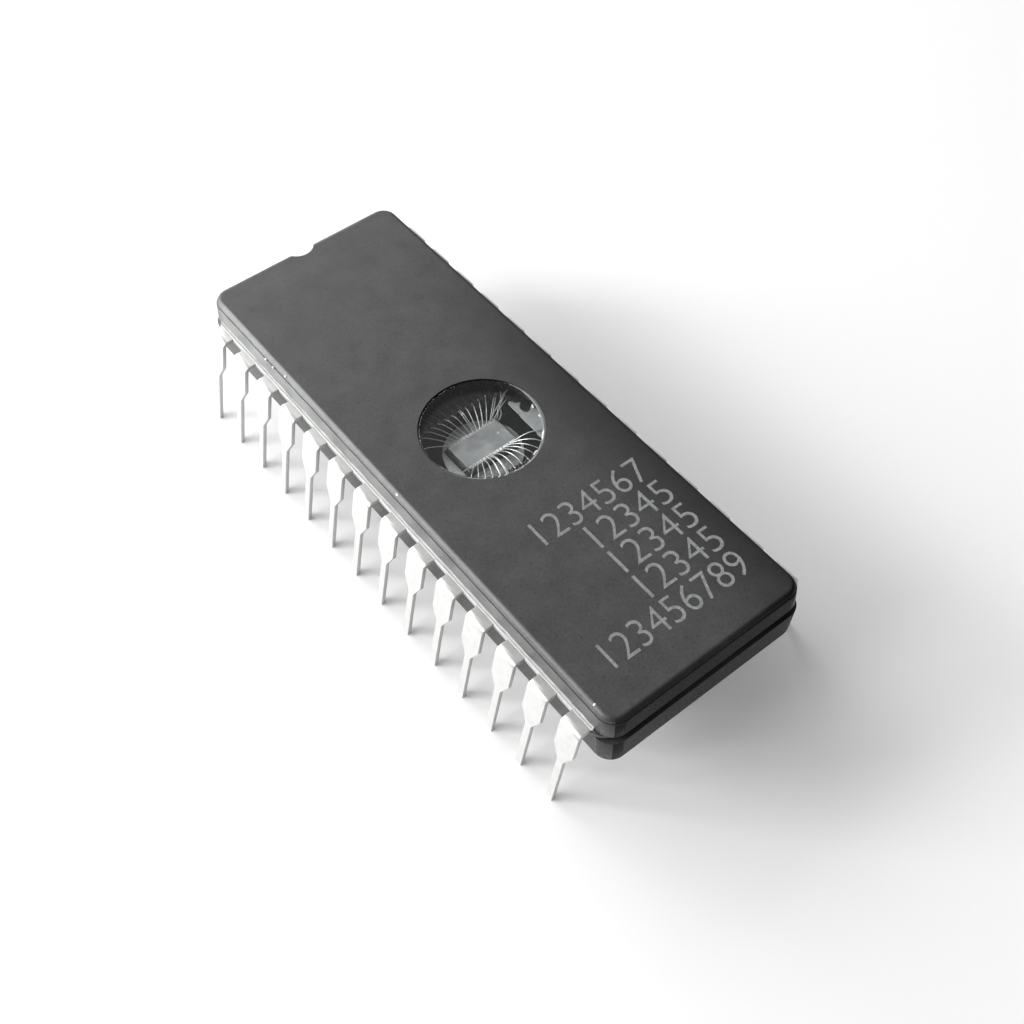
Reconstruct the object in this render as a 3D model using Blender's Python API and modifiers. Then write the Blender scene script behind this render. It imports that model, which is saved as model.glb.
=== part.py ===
"""Windowed ceramic memory chip with 28 leads in two rows, standing on its lead tips.

Run with blender --background --python part.py, or from the text editor.
Metres, +Z up. +Y points to the notched end, and lead 1 is in the row at -X, next to the notch.
"""
from math import atan2, cos, pi, radians, sin, sqrt, tan

import bmesh
import bpy
from mathutils import Vector

MM = 0.001

# Lead rows
LEADS_PER_ROW = 14
PITCH = 2.54 * MM
LEAD_THICKNESS = 0.25 * MM
SHOULDER_WIDTH = 1.42 * MM
PIN_WIDTH = 0.46 * MM
SHOULDER_REACH = 0.42 * MM
BEND_RADIUS = 0.45 * MM
SPLAY = radians(11.2)
PIN_LENGTH = 3.55 * MM
TAPER_LENGTH = 0.9 * MM

# Ceramic body
BODY_ABOVE_SEAT = 0.4 * MM
END_MARGIN = 2.03 * MM
BASE_WIDTH = 13.26 * MM
BASE_THICKNESS = 2.05 * MM
SEAL_THICKNESS = 0.45 * MM
CAP_THICKNESS = 1.45 * MM
CAP_INSET = 0.09 * MM
CORNER_RADIUS = 1.0 * MM
CAP_EDGE_RADIUS = 0.33 * MM
CAP_EDGE_HEIGHT = 0.36 * MM
CAP_LAND = 0.06 * MM
BASE_EDGE_RADIUS = 0.25 * MM
DRAFT = 0.07 * MM
NOTCH_RADIUS = 0.95 * MM
NOTCH_CENTRE_OUT = 0.1 * MM

# Seal glass between the two ceramics
SEAL_SIDE_OUT = 0.1 * MM
SEAL_BEAD_RADIUS = 0.14 * MM
SEAL_END_INSET = 0.38 * MM
SEAL_NOTCH_INSET = 0.15 * MM
LEAD_OVER_BASE = 0.1 * MM
LEAD_ABOVE_GLASS = 0.07 * MM

# Window
WINDOW_DIAMETER = 7.15 * MM
WINDOW_CHAMFER = 0.07 * MM
LENS_SET_DOWN = 0.04 * MM
LENS_EDGE_RADIUS = 0.12 * MM

# Hollow in the cap over the wires, and well in the base around the die
HOLLOW_SIDE_LEDGE = 0.78 * MM
HOLLOW_END_LEDGE = 0.58 * MM
CAP_HOLLOW_DEPTH = 0.5 * MM
CAP_HOLLOW_CORNER = 1.6 * MM
WELL_LENGTH = 6.2 * MM
WELL_WIDTH = 4.8 * MM
WELL_DEPTH = 0.66 * MM
WELL_CORNER = 0.8 * MM
WELL_GLASS_INSET = 0.1 * MM

# Die and the round spot of attach paste under it
DIE_LENGTH = 3.4 * MM
DIE_WIDTH = 2.15 * MM
DIE_THICKNESS = 0.45 * MM
DIE_CENTRE_X = 0.1 * MM
DIE_CENTRE_Y = 0.2 * MM
ATTACH_TO_WELL_WALL = 0.1 * MM
ATTACH_THICKNESS = 0.05 * MM

# Fingers of the lead frame, from the well to the edge of the body
FINGER_TIP_FIRST = 0.24 * MM
FINGER_TIP_GAP = 0.18 * MM
FINGER_TIP_BACK = 0.05 * MM
FINGER_TIP_RUN = 0.5 * MM
FINGER_FAN_RUN = 0.95 * MM
FINGER_LANE_WIDTH = 0.34 * MM
FINGER_LANE_FIRST = 0.42 * MM
FINGER_LANE_PITCH = 0.62 * MM
FINGER_CORNER_CUT = 0.8 * MM
FINGER_ROW_WIDTH = 0.6 * MM
FINGER_FLARE = 0.9 * MM
SHOULDER_ROOT = 0.35 * MM
CORNER_FINGER_IN = 0.48 * MM
CORNER_FINGER_BACK = 0.12 * MM
SIDE_FINGER_IN = 0.08 * MM
SIDE_FINGER_BACK = 0.8 * MM
SIDE_FINGER_RUN = 0.55 * MM

# Bond wires
WIRE_DIAMETER = 0.045 * MM
WIRE_LOOP = 0.15 * MM
WIRE_ROOT = 0.06 * MM
BOND_SETBACK = 0.16 * MM
PAD_FIRST = 0.11 * MM
PAD_FROM_END = 0.195 * MM
PAD_FROM_EDGE = 0.13 * MM
PAD_FOOT = 0.1 * MM
DOUBLE_BONDED_LEADS = (14, 23, 28)
SECOND_BOND_ASIDE = 0.09 * MM

# Space left between solids that touch on the real part
CLEARANCE = 0.02 * MM

# Smoothness of the round stretches
CORNER_STEPS = 5
NOTCH_STEPS = 10
EDGE_SEGMENTS = 3
BEND_STEPS = 4
WINDOW_STEPS = 56

# Sizes and heights that follow from the ones above
QUARTER = LEADS_PER_ROW // 2
ROW_LENGTH = (LEADS_PER_ROW - 1) * PITCH
TAPER_TOP = PIN_LENGTH + TAPER_LENGTH
BODY_LENGTH = ROW_LENGTH + 2 * END_MARGIN
STANDOFF = PIN_LENGTH + BODY_ABOVE_SEAT
BASE_TOP = STANDOFF + BASE_THICKNESS
CAP_BOTTOM = BASE_TOP + SEAL_THICKNESS
CAP_TOP = CAP_BOTTOM + CAP_THICKNESS
LEAD_BOTTOM = BASE_TOP + LEAD_OVER_BASE
LEAD_TOP = LEAD_BOTTOM + LEAD_THICKNESS
NOTCH_CENTRE = BODY_LENGTH / 2 + NOTCH_CENTRE_OUT
WELL_FLOOR = BASE_TOP - WELL_DEPTH
ATTACH_BOTTOM = WELL_FLOOR + CLEARANCE
DIE_BOTTOM = ATTACH_BOTTOM + ATTACH_THICKNESS + CLEARANCE
DIE_TOP = DIE_BOTTOM + DIE_THICKNESS
LENS_BOTTOM = CAP_BOTTOM + CAP_HOLLOW_DEPTH
LENS_TOP = CAP_TOP - LENS_SET_DOWN
CAP_HOLLOW_LENGTH = WINDOW_DIAMETER + 2 * HOLLOW_SIDE_LEDGE
CAP_HOLLOW_WIDTH = WINDOW_DIAMETER + 2 * HOLLOW_END_LEDGE
ATTACH_DIAMETER = WELL_WIDTH - 2 * ATTACH_TO_WELL_WALL
CORNER_TIP_X = WELL_LENGTH / 2 - CORNER_FINGER_IN
FINGER_TIP_PITCH = (CORNER_TIP_X - FINGER_TIP_FIRST) / (QUARTER - 2)
FINGER_TIP_WIDTH = FINGER_TIP_PITCH - FINGER_TIP_GAP
PAD_PITCH = (DIE_LENGTH / 2 - PAD_FROM_END - PAD_FIRST) / (QUARTER - 1)


def clear_scene():
    """Remove the objects that the open file holds."""
    for obj in list(bpy.data.objects):
        bpy.data.objects.remove(obj, do_unlink=True)


def make_collection(name):
    """Add a collection to the scene."""
    collection = bpy.data.collections.new(name)
    bpy.context.scene.collection.children.link(collection)
    return collection


def make_material(name, colour, roughness, metallic=0.0, transmission=0.0):
    """Principled material in one colour."""
    material = bpy.data.materials.new(name)
    material.use_nodes = True
    shader = material.node_tree.nodes["Principled BSDF"]
    shader.inputs["Base Color"].default_value = (*colour, 1.0)
    shader.inputs["Roughness"].default_value = roughness
    shader.inputs["Metallic"].default_value = metallic
    shader.inputs["Transmission Weight"].default_value = transmission
    material.diffuse_color = (*colour, 1.0)
    return material


def add_object(name, mesh, collection, material=None):
    """Link a mesh as an object, with its material."""
    obj = bpy.data.objects.new(name, mesh)
    collection.objects.link(obj)
    if material is not None:
        mesh.materials.append(material)
    return obj


def add_cutter(name, mesh, cutters):
    """Link a mesh that only takes part in Boolean modifiers."""
    obj = add_object(name, mesh, cutters)
    obj.hide_render = True
    obj.display_type = "WIRE"
    return obj


def boolean(obj, other, operation):
    """Cut or join with an exact Boolean modifier."""
    modifier = obj.modifiers.new(other.name, "BOOLEAN")
    modifier.operation = operation
    modifier.solver = "EXACT"
    modifier.object = other


def mesh_from_bmesh(name, bm):
    """Turn a bmesh into mesh data and free it."""
    bmesh.ops.recalc_face_normals(bm, faces=bm.faces)
    mesh = bpy.data.meshes.new(name)
    bm.to_mesh(mesh)
    bm.free()
    return mesh


def mesh_from_curve(name, curve):
    """Evaluate a curve as mesh data with its caps welded on."""
    holder = bpy.data.objects.new(name, curve)
    bpy.context.scene.collection.objects.link(holder)
    depsgraph = bpy.context.evaluated_depsgraph_get()
    mesh = bpy.data.meshes.new_from_object(holder.evaluated_get(depsgraph))
    bpy.data.objects.remove(holder, do_unlink=True)
    bm = bmesh.new()
    bm.from_mesh(mesh)
    bmesh.ops.remove_doubles(bm, verts=bm.verts, dist=CLEARANCE / 100)
    bmesh.ops.dissolve_limit(bm, angle_limit=radians(0.5), verts=bm.verts, edges=bm.edges)
    bpy.data.meshes.remove(mesh)
    return mesh_from_bmesh(name, bm)


def arc(centre_x, centre_y, radius, start, end, steps):
    """Points along an arc, both ends included."""
    angles = [start + (end - start) * step / steps for step in range(steps + 1)]
    return [(centre_x + radius * cos(angle), centre_y + radius * sin(angle)) for angle in angles]


def rounded_outline(half_x, half_y, corner):
    """Rectangle with round corners, anticlockwise from the corner at +X, -Y."""
    points = []
    for turn, (side_x, side_y) in enumerate(((1, -1), (1, 1), (-1, 1), (-1, -1))):
        start = (turn - 1) * pi / 2
        points += arc(side_x * (half_x - corner), side_y * (half_y - corner), corner,
                      start, start + pi / 2, CORNER_STEPS)
    return points


def notched_outline(half_x, half_y, corner, notch_radius):
    """Rounded rectangle with the half-round notch let into its +Y end."""
    points = rounded_outline(half_x, half_y, corner)
    before_notch = 2 * (CORNER_STEPS + 1)
    opening = sqrt(notch_radius ** 2 - (NOTCH_CENTRE - half_y) ** 2)
    lip = atan2(NOTCH_CENTRE - half_y, opening)
    notch = arc(0.0, NOTCH_CENTRE, notch_radius, -lip, lip - pi, NOTCH_STEPS)
    return points[:before_notch] + notch + points[before_notch:]


def slab_mesh(name, outline, bottom, top):
    """Flat outline as a filled 2D curve, extruded between two heights."""
    curve = bpy.data.curves.new(name, "CURVE")
    curve.dimensions = "2D"
    curve.fill_mode = "BOTH"
    curve.extrude = (top - bottom) / 2
    spline = curve.splines.new("POLY")
    spline.points.add(len(outline) - 1)
    for point, (x, y) in zip(spline.points, outline):
        point.co = (x, y, 0.0, 1.0)
    spline.use_cyclic_u = True
    mesh = mesh_from_curve(name, curve)
    for vertex in mesh.vertices:
        vertex.co.z += (bottom + top) / 2
    return mesh


def draw_in(mesh, height, half_x, half_y):
    """Draft: bring the vertices at one height in by DRAFT on every side."""
    for vertex in mesh.vertices:
        if abs(vertex.co.z - height) < CLEARANCE:
            vertex.co.x *= 1 - DRAFT / half_x
            vertex.co.y *= 1 - DRAFT / half_y


def round_rims(obj, heights, radius):
    """Round the rims that lie at the given heights."""
    mesh = obj.data
    weights = mesh.attributes.new("bevel_weight_edge", "FLOAT", "EDGE")
    for edge in mesh.edges:
        levels = [mesh.vertices[index].co.z for index in edge.vertices]
        on_rim = any(max(abs(level - height) for level in levels) < CLEARANCE for height in heights)
        weights.data[edge.index].value = 1.0 if on_rim else 0.0
    modifier = obj.modifiers.new("Rim", "BEVEL")
    modifier.limit_method = "WEIGHT"
    modifier.width = radius
    modifier.segments = EDGE_SEGMENTS


def step_up(mesh, land, height):
    """Raise the middle of the top face, which leaves a narrow flat land round it."""
    bm = bmesh.new()
    bm.from_mesh(mesh)
    top = max(bm.faces, key=lambda face: face.calc_center_median().z)
    bmesh.ops.inset_region(bm, faces=[top], thickness=land, use_even_offset=True)
    raised = bmesh.ops.extrude_face_region(bm, geom=[top])["geom"]
    verts = [item for item in raised if isinstance(item, bmesh.types.BMVert)]
    bmesh.ops.translate(bm, verts=verts, vec=(0.0, 0.0, height))
    bmesh.ops.delete(bm, geom=[top], context="FACES_ONLY")
    bm.to_mesh(mesh)
    bm.free()


def turned_mesh(name, profile, cutters):
    """Turn a closed profile of (radius, height) points about the Z axis."""
    bm = bmesh.new()
    verts = [bm.verts.new((radius, 0.0, height)) for radius, height in profile]
    for start, end in zip(verts, verts[1:]):
        bm.edges.new((start, end))
    holder = add_object(name, mesh_from_bmesh(name, bm), cutters)
    modifier = holder.modifiers.new("Turn", "SCREW")
    modifier.steps = WINDOW_STEPS
    modifier.render_steps = WINDOW_STEPS
    modifier.use_merge_vertices = True
    modifier.merge_threshold = CLEARANCE / 100
    depsgraph = bpy.context.evaluated_depsgraph_get()
    turned = bpy.data.meshes.new_from_object(holder.evaluated_get(depsgraph))
    bpy.data.objects.remove(holder, do_unlink=True)
    bm = bmesh.new()
    bm.from_mesh(turned)
    bpy.data.meshes.remove(turned)
    return mesh_from_bmesh(name, bm)


def box_mesh(name, size, centre):
    """Cuboid from the cube primitive."""
    bm = bmesh.new()
    bmesh.ops.create_cube(bm, size=1.0)
    bmesh.ops.scale(bm, verts=bm.verts, vec=size)
    bmesh.ops.translate(bm, verts=bm.verts, vec=centre)
    return mesh_from_bmesh(name, bm)


def build_base(collection, cutters, material):
    """Pressed ceramic base with the notch, a rounded lower rim and the well for the die."""
    half_x, half_y = BASE_WIDTH / 2, BODY_LENGTH / 2
    outline = notched_outline(half_x, half_y, CORNER_RADIUS, NOTCH_RADIUS)
    mesh = slab_mesh("ceramic_base", outline, STANDOFF, BASE_TOP)
    draw_in(mesh, STANDOFF, half_x, half_y)
    base = add_object("ceramic_base", mesh, collection, material)
    round_rims(base, (STANDOFF,), BASE_EDGE_RADIUS)
    well = rounded_outline(WELL_LENGTH / 2, WELL_WIDTH / 2, WELL_CORNER)
    well_mesh = slab_mesh("well", well, WELL_FLOOR, CAP_BOTTOM)
    boolean(base, add_cutter("well", well_mesh, cutters), "DIFFERENCE")


def build_cap(collection, cutters, material):
    """Pressed ceramic cap with the window hole and the hollow below it.

    A narrow flat land, left by the press tool, runs between its wall and the rounded upper rim.
    """
    half_x, half_y = BASE_WIDTH / 2 - CAP_INSET, BODY_LENGTH / 2 - CAP_INSET
    outline = notched_outline(half_x, half_y, CORNER_RADIUS, NOTCH_RADIUS)
    land_height = CAP_TOP - CAP_EDGE_HEIGHT
    mesh = slab_mesh("ceramic_cap", outline, CAP_BOTTOM, land_height)
    draw_in(mesh, land_height, half_x, half_y)
    step_up(mesh, CAP_LAND, CAP_EDGE_HEIGHT)
    cap = add_object("ceramic_cap", mesh, collection, material)
    round_rims(cap, (CAP_TOP,), CAP_EDGE_RADIUS)
    hollow = rounded_outline(CAP_HOLLOW_LENGTH / 2, CAP_HOLLOW_WIDTH / 2, CAP_HOLLOW_CORNER)
    hollow_mesh = slab_mesh("hollow", hollow, BASE_TOP, LENS_BOTTOM)
    boolean(cap, add_cutter("hollow", hollow_mesh, cutters), "DIFFERENCE")
    hole = WINDOW_DIAMETER / 2
    above = CAP_TOP + CAP_THICKNESS
    profile = [(0.0, BASE_TOP), (hole, BASE_TOP), (hole, CAP_TOP - WINDOW_CHAMFER),
               (hole + WINDOW_CHAMFER + CAP_THICKNESS, above), (0.0, above)]
    hole_mesh = turned_mesh("window_hole", profile, cutters)
    boolean(cap, add_cutter("window_hole", hole_mesh, cutters), "DIFFERENCE")


def build_lens(collection, cutters, material):
    """Clear round window sealed into the cap's hole, with a rounded upper edge."""
    radius = WINDOW_DIAMETER / 2 - CLEARANCE
    edge = arc(radius - LENS_EDGE_RADIUS, LENS_TOP - LENS_EDGE_RADIUS, LENS_EDGE_RADIUS,
               0.0, pi / 2, EDGE_SEGMENTS)
    profile = [(0.0, LENS_BOTTOM), (radius, LENS_BOTTOM)] + edge + [(0.0, LENS_TOP)]
    lens = add_object("window_lens", turned_mesh("window_lens", profile, cutters), collection, material)
    smooth_by_angle(lens)


def smooth_by_angle(obj):
    """Shade the round sides smooth and keep the flats' edges sharp."""
    obj.data.shade_smooth()
    obj.data.set_sharp_from_angle(angle=radians(35))


def build_die(collection, attach_material, die_material):
    """Silicon die on its round spot of attach paste in the well."""
    bm = bmesh.new()
    bmesh.ops.create_cone(bm, cap_ends=True, segments=WINDOW_STEPS, radius1=ATTACH_DIAMETER / 2,
                          radius2=ATTACH_DIAMETER / 2, depth=ATTACH_THICKNESS)
    bmesh.ops.translate(bm, verts=bm.verts, vec=(0.0, 0.0, ATTACH_BOTTOM + ATTACH_THICKNESS / 2))
    attach = add_object("die_attach", mesh_from_bmesh("die_attach", bm), collection, attach_material)
    smooth_by_angle(attach)
    die_mesh = box_mesh("silicon_die", (DIE_LENGTH, DIE_WIDTH, DIE_THICKNESS),
                        (DIE_CENTRE_X, DIE_CENTRE_Y, DIE_BOTTOM + DIE_THICKNESS / 2))
    add_object("silicon_die", die_mesh, collection, die_material)


def finger_path(rank):
    """Plan path and widths of the finger of one lead, for the quarter at +X, +Y.

    Rank 0 is the lead at the end of the row. The last two ranks come to the corner and the
    side of the well, and the others run along the body in lanes.
    """
    exit_y = ROW_LENGTH / 2 - rank * PITCH
    root_x = BASE_WIDTH / 2 - SHOULDER_ROOT
    row = [(root_x - FINGER_FLARE, exit_y, FINGER_ROW_WIDTH), (root_x, exit_y, SHOULDER_WIDTH)]
    well_y = WELL_WIDTH / 2
    if rank == QUARTER - 1:
        tip_x, tip_y = WELL_LENGTH / 2 - SIDE_FINGER_IN, well_y - SIDE_FINGER_BACK
        turn_x = tip_x + SIDE_FINGER_RUN
        path = [(tip_x, tip_y, FINGER_TIP_WIDTH), (turn_x, tip_y, FINGER_LANE_WIDTH),
                (turn_x + abs(tip_y - exit_y), exit_y, FINGER_LANE_WIDTH)]
    elif rank == QUARTER - 2:
        tip_y = well_y - CORNER_FINGER_BACK
        path = [(CORNER_TIP_X, tip_y, FINGER_TIP_WIDTH),
                (CORNER_TIP_X + FINGER_TIP_RUN, tip_y + FINGER_TIP_RUN, FINGER_LANE_WIDTH),
                (CORNER_TIP_X + exit_y - tip_y, exit_y, FINGER_LANE_WIDTH)]
    else:
        tip_x = FINGER_TIP_FIRST + rank * FINGER_TIP_PITCH
        lane_x = FINGER_LANE_FIRST + rank * FINGER_LANE_PITCH
        tip_y = well_y + FINGER_TIP_BACK
        fan_y = tip_y + FINGER_TIP_RUN
        path = [(tip_x, tip_y, FINGER_TIP_WIDTH), (tip_x, fan_y, FINGER_TIP_WIDTH),
                (lane_x, fan_y + FINGER_FAN_RUN, FINGER_LANE_WIDTH),
                (lane_x, exit_y - FINGER_CORNER_CUT, FINGER_LANE_WIDTH),
                (lane_x + FINGER_CORNER_CUT, exit_y, FINGER_LANE_WIDTH)]
    return path + row


def leg_path():
    """Distance from the centre plane, height and width along the lead outside the body."""
    bend_x = BASE_WIDTH / 2 + SHOULDER_REACH
    bend_z = LEAD_TOP - BEND_RADIUS
    turn = pi / 2 - SPLAY
    path = []
    for step in range(BEND_STEPS + 1):
        angle = turn * step / BEND_STEPS
        path.append((bend_x + BEND_RADIUS * sin(angle), bend_z + BEND_RADIUS * cos(angle),
                     SHOULDER_WIDTH))
    leg_x, leg_z, _ = path[-1]
    for height, width in ((TAPER_TOP, SHOULDER_WIDTH), (PIN_LENGTH, PIN_WIDTH),
                          (-LEAD_THICKNESS, PIN_WIDTH)):
        path.append((leg_x + (leg_z - height) * tan(SPLAY), height, width))
    return path


def finger_edges(path, extra):
    """Left and right points of the ribbon along a plan path, mitred at its corners."""
    points = [Vector(point[:2]) for point in path]
    steps = [(end - start).normalized() for start, end in zip(points, points[1:])]
    pairs = []
    for index, (x, y, width) in enumerate(path):
        before = steps[max(index - 1, 0)]
        after = steps[min(index, len(steps) - 1)]
        along = (before + after).normalized()
        reach = (width / 2 + extra) / along.dot(after)
        across = Vector((along.y, -along.x)) * reach
        pairs.append(((x - across.x, y - across.y), (x + across.x, y + across.y)))
    return pairs


def add_ribbon(bm, pairs):
    """Lay a strip of faces between pairs of points."""
    rails = [(bm.verts.new(left), bm.verts.new(right)) for left, right in pairs]
    for (left, right), (next_left, next_right) in zip(rails, rails[1:]):
        bm.faces.new((left, right, next_right, next_left))


def in_quarter(point, side_x, side_y):
    """Mirror a point of the +X, +Y quarter into another quarter."""
    return Vector((point[0] * side_x, point[1] * side_y, point[2]))


def quarter_pairs(pairs, side_x, side_y):
    """Mirror a ribbon's pairs, left and right swapped where the mirror turns it over."""
    mirrored = [(in_quarter(left, side_x, side_y), in_quarter(right, side_x, side_y))
                for left, right in pairs]
    if side_x * side_y < 0:
        mirrored = [(right, left) for left, right in mirrored]
    return mirrored


def lead_pairs(rank):
    """Ribbon of a whole lead along its upper and outer face, for the +X, +Y quarter."""
    pairs = [((*left, LEAD_TOP), (*right, LEAD_TOP))
             for left, right in finger_edges(finger_path(rank), 0.0)]
    exit_y = ROW_LENGTH / 2 - rank * PITCH
    for x, z, width in leg_path():
        pairs.append(((x, exit_y + width / 2, z), (x, exit_y - width / 2, z)))
    return pairs


def channel_pairs(rank):
    """Ribbon of the channel that a finger lies in, past both ends of the glass it crosses."""
    path = finger_path(rank)
    tip, following = Vector(path[0][:2]), Vector(path[1][:2])
    start = tip - (following - tip).normalized() * CLEARANCE
    path[0] = (start.x, start.y, path[0][2])
    exit_y, width = path[-1][1], path[-1][2]
    path.append((BASE_WIDTH / 2 + SHOULDER_REACH, exit_y, width))
    return [((*left, LEAD_TOP + CLEARANCE), (*right, LEAD_TOP + CLEARANCE))
            for left, right in finger_edges(path, CLEARANCE)]


def wire_points(rank, second, side_x, side_y):
    """Path of a bond wire from inside its finger up and over to its pad on the off-centre die.

    A second wire from the same finger starts beside the first and lands half a pad pitch away.
    """
    path = finger_path(rank)
    along = (Vector(path[1][:2]) - Vector(path[0][:2])).normalized()
    aside = Vector((along.y, -along.x)) * SECOND_BOND_ASIDE * second
    bond = Vector(path[0][:2]) + along * BOND_SETBACK + aside
    bond = Vector((bond.x * side_x, bond.y * side_y))
    pad_x = PAD_FIRST + (rank + second / 2) * PAD_PITCH
    pad_y = DIE_WIDTH / 2 - PAD_FROM_EDGE
    pad = Vector((DIE_CENTRE_X + pad_x * side_x, DIE_CENTRE_Y + pad_y * side_y))
    foot_z = DIE_TOP + CLEARANCE + WIRE_DIAMETER / 2
    way = pad - bond
    foot = pad - way.normalized() * PAD_FOOT
    root = bond - way.normalized() * WIRE_ROOT
    loop = LEAD_TOP + WIRE_LOOP
    return [(root.x, root.y, LEAD_TOP - WIRE_ROOT),
            (bond.x, bond.y, LEAD_TOP + WIRE_DIAMETER / 2),
            (*(bond + way * 0.15), LEAD_TOP + WIRE_LOOP * 0.75),
            (*(bond + way * 0.38), loop),
            (*(bond + way * 0.62), foot_z + (loop - foot_z) * 0.78),
            (*(bond + way * 0.84), foot_z + (loop - foot_z) * 0.3),
            (foot.x, foot.y, foot_z),
            (pad.x, pad.y, foot_z)]


def wire_mesh(name, points):
    """Thin tube along a bond wire's path."""
    curve = bpy.data.curves.new(name, "CURVE")
    curve.dimensions = "3D"
    curve.bevel_depth = WIRE_DIAMETER / 2
    curve.bevel_resolution = 1
    curve.use_fill_caps = True
    spline = curve.splines.new("POLY")
    spline.points.add(len(points) - 1)
    for point, place in zip(spline.points, points):
        point.co = (*place, 1.0)
    return mesh_from_curve(name, curve)


def lead_places():
    """Number, rank and quarter of each lead, counted round from the one beside the notch."""
    places = []
    for number in range(1, 2 * LEADS_PER_ROW + 1):
        in_first_row = number <= LEADS_PER_ROW
        place = number - 1 if in_first_row else 2 * LEADS_PER_ROW - number
        side_x = -1 if in_first_row else 1
        side_y = 1 if place < QUARTER else -1
        rank = place if place < QUARTER else LEADS_PER_ROW - 1 - place
        places.append((number, rank, side_x, side_y))
    return places


def build_leads(collection, cutters, material):
    """Stamped and bent leads, each with the bond wire or wires that are welded to its finger."""
    reach = 4 * BASE_WIDTH
    trim = box_mesh("tip_trim", (reach, reach, STANDOFF), (0.0, 0.0, -STANDOFF / 2))
    trim_cutter = add_cutter("tip_trim", trim, cutters)
    for number, rank, side_x, side_y in lead_places():
        name = f"lead_{number:02d}"
        bm = bmesh.new()
        add_ribbon(bm, quarter_pairs(lead_pairs(rank), side_x, side_y))
        mesh = bpy.data.meshes.new(name)
        bm.to_mesh(mesh)
        bm.free()
        lead = add_object(name, mesh, collection, material)
        sheet = lead.modifiers.new("Sheet", "SOLIDIFY")
        sheet.thickness = LEAD_THICKNESS
        sheet.offset = -1.0
        sheet.use_even_offset = True
        boolean(lead, trim_cutter, "DIFFERENCE")
        for second in range(2 if number in DOUBLE_BONDED_LEADS else 1):
            wire_name = f"wire_{number:02d}_{second + 1}"
            points = wire_points(rank, second, side_x, side_y)
            wire = add_cutter(wire_name, wire_mesh(wire_name, points), cutters)
            boolean(lead, wire, "UNION")


def build_seal(collection, cutters, material):
    """Fired glass that holds the fingers, squeezed out at the sides and recessed at the ends."""
    half_x = BASE_WIDTH / 2 + SEAL_SIDE_OUT
    half_y = BODY_LENGTH / 2 - SEAL_END_INSET
    outline = notched_outline(half_x, half_y, CORNER_RADIUS, NOTCH_RADIUS + SEAL_NOTCH_INSET)
    mesh = slab_mesh("seal_glass", outline, BASE_TOP + CLEARANCE, CAP_BOTTOM - CLEARANCE)
    seal = add_object("seal_glass", mesh, collection, material)
    round_rims(seal, (BASE_TOP + CLEARANCE, CAP_BOTTOM - CLEARANCE), SEAL_BEAD_RADIUS)
    lower = rounded_outline(WELL_LENGTH / 2 + WELL_GLASS_INSET, WELL_WIDTH / 2 + WELL_GLASS_INSET,
                            WELL_CORNER)
    upper = rounded_outline(CAP_HOLLOW_LENGTH / 2, CAP_HOLLOW_WIDTH / 2, CAP_HOLLOW_CORNER)
    lower_mesh = slab_mesh("glass_well", lower, STANDOFF, CAP_TOP)
    boolean(seal, add_cutter("glass_well", lower_mesh, cutters), "DIFFERENCE")
    upper_mesh = slab_mesh("glass_hollow", upper, LEAD_TOP - LEAD_ABOVE_GLASS, CAP_TOP)
    boolean(seal, add_cutter("glass_hollow", upper_mesh, cutters), "DIFFERENCE")
    bm = bmesh.new()
    for _, rank, side_x, side_y in lead_places():
        add_ribbon(bm, quarter_pairs(channel_pairs(rank), side_x, side_y))
    mesh = bpy.data.meshes.new("channels")
    bm.to_mesh(mesh)
    bm.free()
    channels = add_cutter("channels", mesh, cutters)
    depth = channels.modifiers.new("Depth", "SOLIDIFY")
    depth.thickness = LEAD_THICKNESS + 2 * CLEARANCE
    depth.offset = -1.0
    boolean(seal, channels, "DIFFERENCE")


def main():
    """Build every piece of the chip."""
    clear_scene()
    chip = make_collection("eprom_chip")
    cutters = make_collection("cutters")
    ceramic = make_material("dark_ceramic", (0.062, 0.064, 0.064), 0.6)
    frit = make_material("seal_glass", (0.03, 0.031, 0.032), 0.35)
    tin = make_material("tinned_alloy", (0.74, 0.74, 0.73), 0.38, metallic=1.0)
    clear = make_material("clear_glass", (0.93, 0.95, 0.95), 0.03, transmission=1.0)
    paste = make_material("attach_paste", (0.5, 0.5, 0.49), 0.5, metallic=0.6)
    silicon = make_material("silicon", (0.26, 0.27, 0.27), 0.3, metallic=0.4)
    build_base(chip, cutters, ceramic)
    build_cap(chip, cutters, ceramic)
    build_lens(chip, cutters, clear)
    build_seal(chip, cutters, frit)
    build_die(chip, paste, silicon)
    build_leads(chip, cutters, tin)


main()
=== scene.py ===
"""Finishes a windowed ceramic memory chip round its packed frame, with its stage and camera.

Metres, +Z up. +Y points to the notched end, and the chip stands on its lead tips at Z = 0.
"""
from math import atan2, cos, hypot, pi, radians, sin, tan
from random import Random

import bmesh
import bpy
from bpy.props import FloatProperty, FloatVectorProperty, PointerProperty
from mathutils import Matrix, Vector


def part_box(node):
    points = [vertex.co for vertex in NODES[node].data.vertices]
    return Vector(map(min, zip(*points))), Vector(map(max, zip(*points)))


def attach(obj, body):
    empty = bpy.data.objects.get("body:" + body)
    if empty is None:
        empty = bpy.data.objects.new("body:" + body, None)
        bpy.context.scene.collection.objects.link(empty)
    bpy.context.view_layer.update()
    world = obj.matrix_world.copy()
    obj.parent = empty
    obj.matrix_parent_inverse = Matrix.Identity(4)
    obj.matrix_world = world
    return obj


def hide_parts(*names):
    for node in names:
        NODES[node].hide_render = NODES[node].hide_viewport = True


bl_info = {
    "name": "Windowed Memory Chip",
    "version": (1, 0, 0),
    "blender": (4, 5, 0),
    "location": "View3D > Sidebar > Chip",
    "description": "Finishes a windowed ceramic chip: its pieces, materials and stage",
    "category": "Mesh",
}

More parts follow.
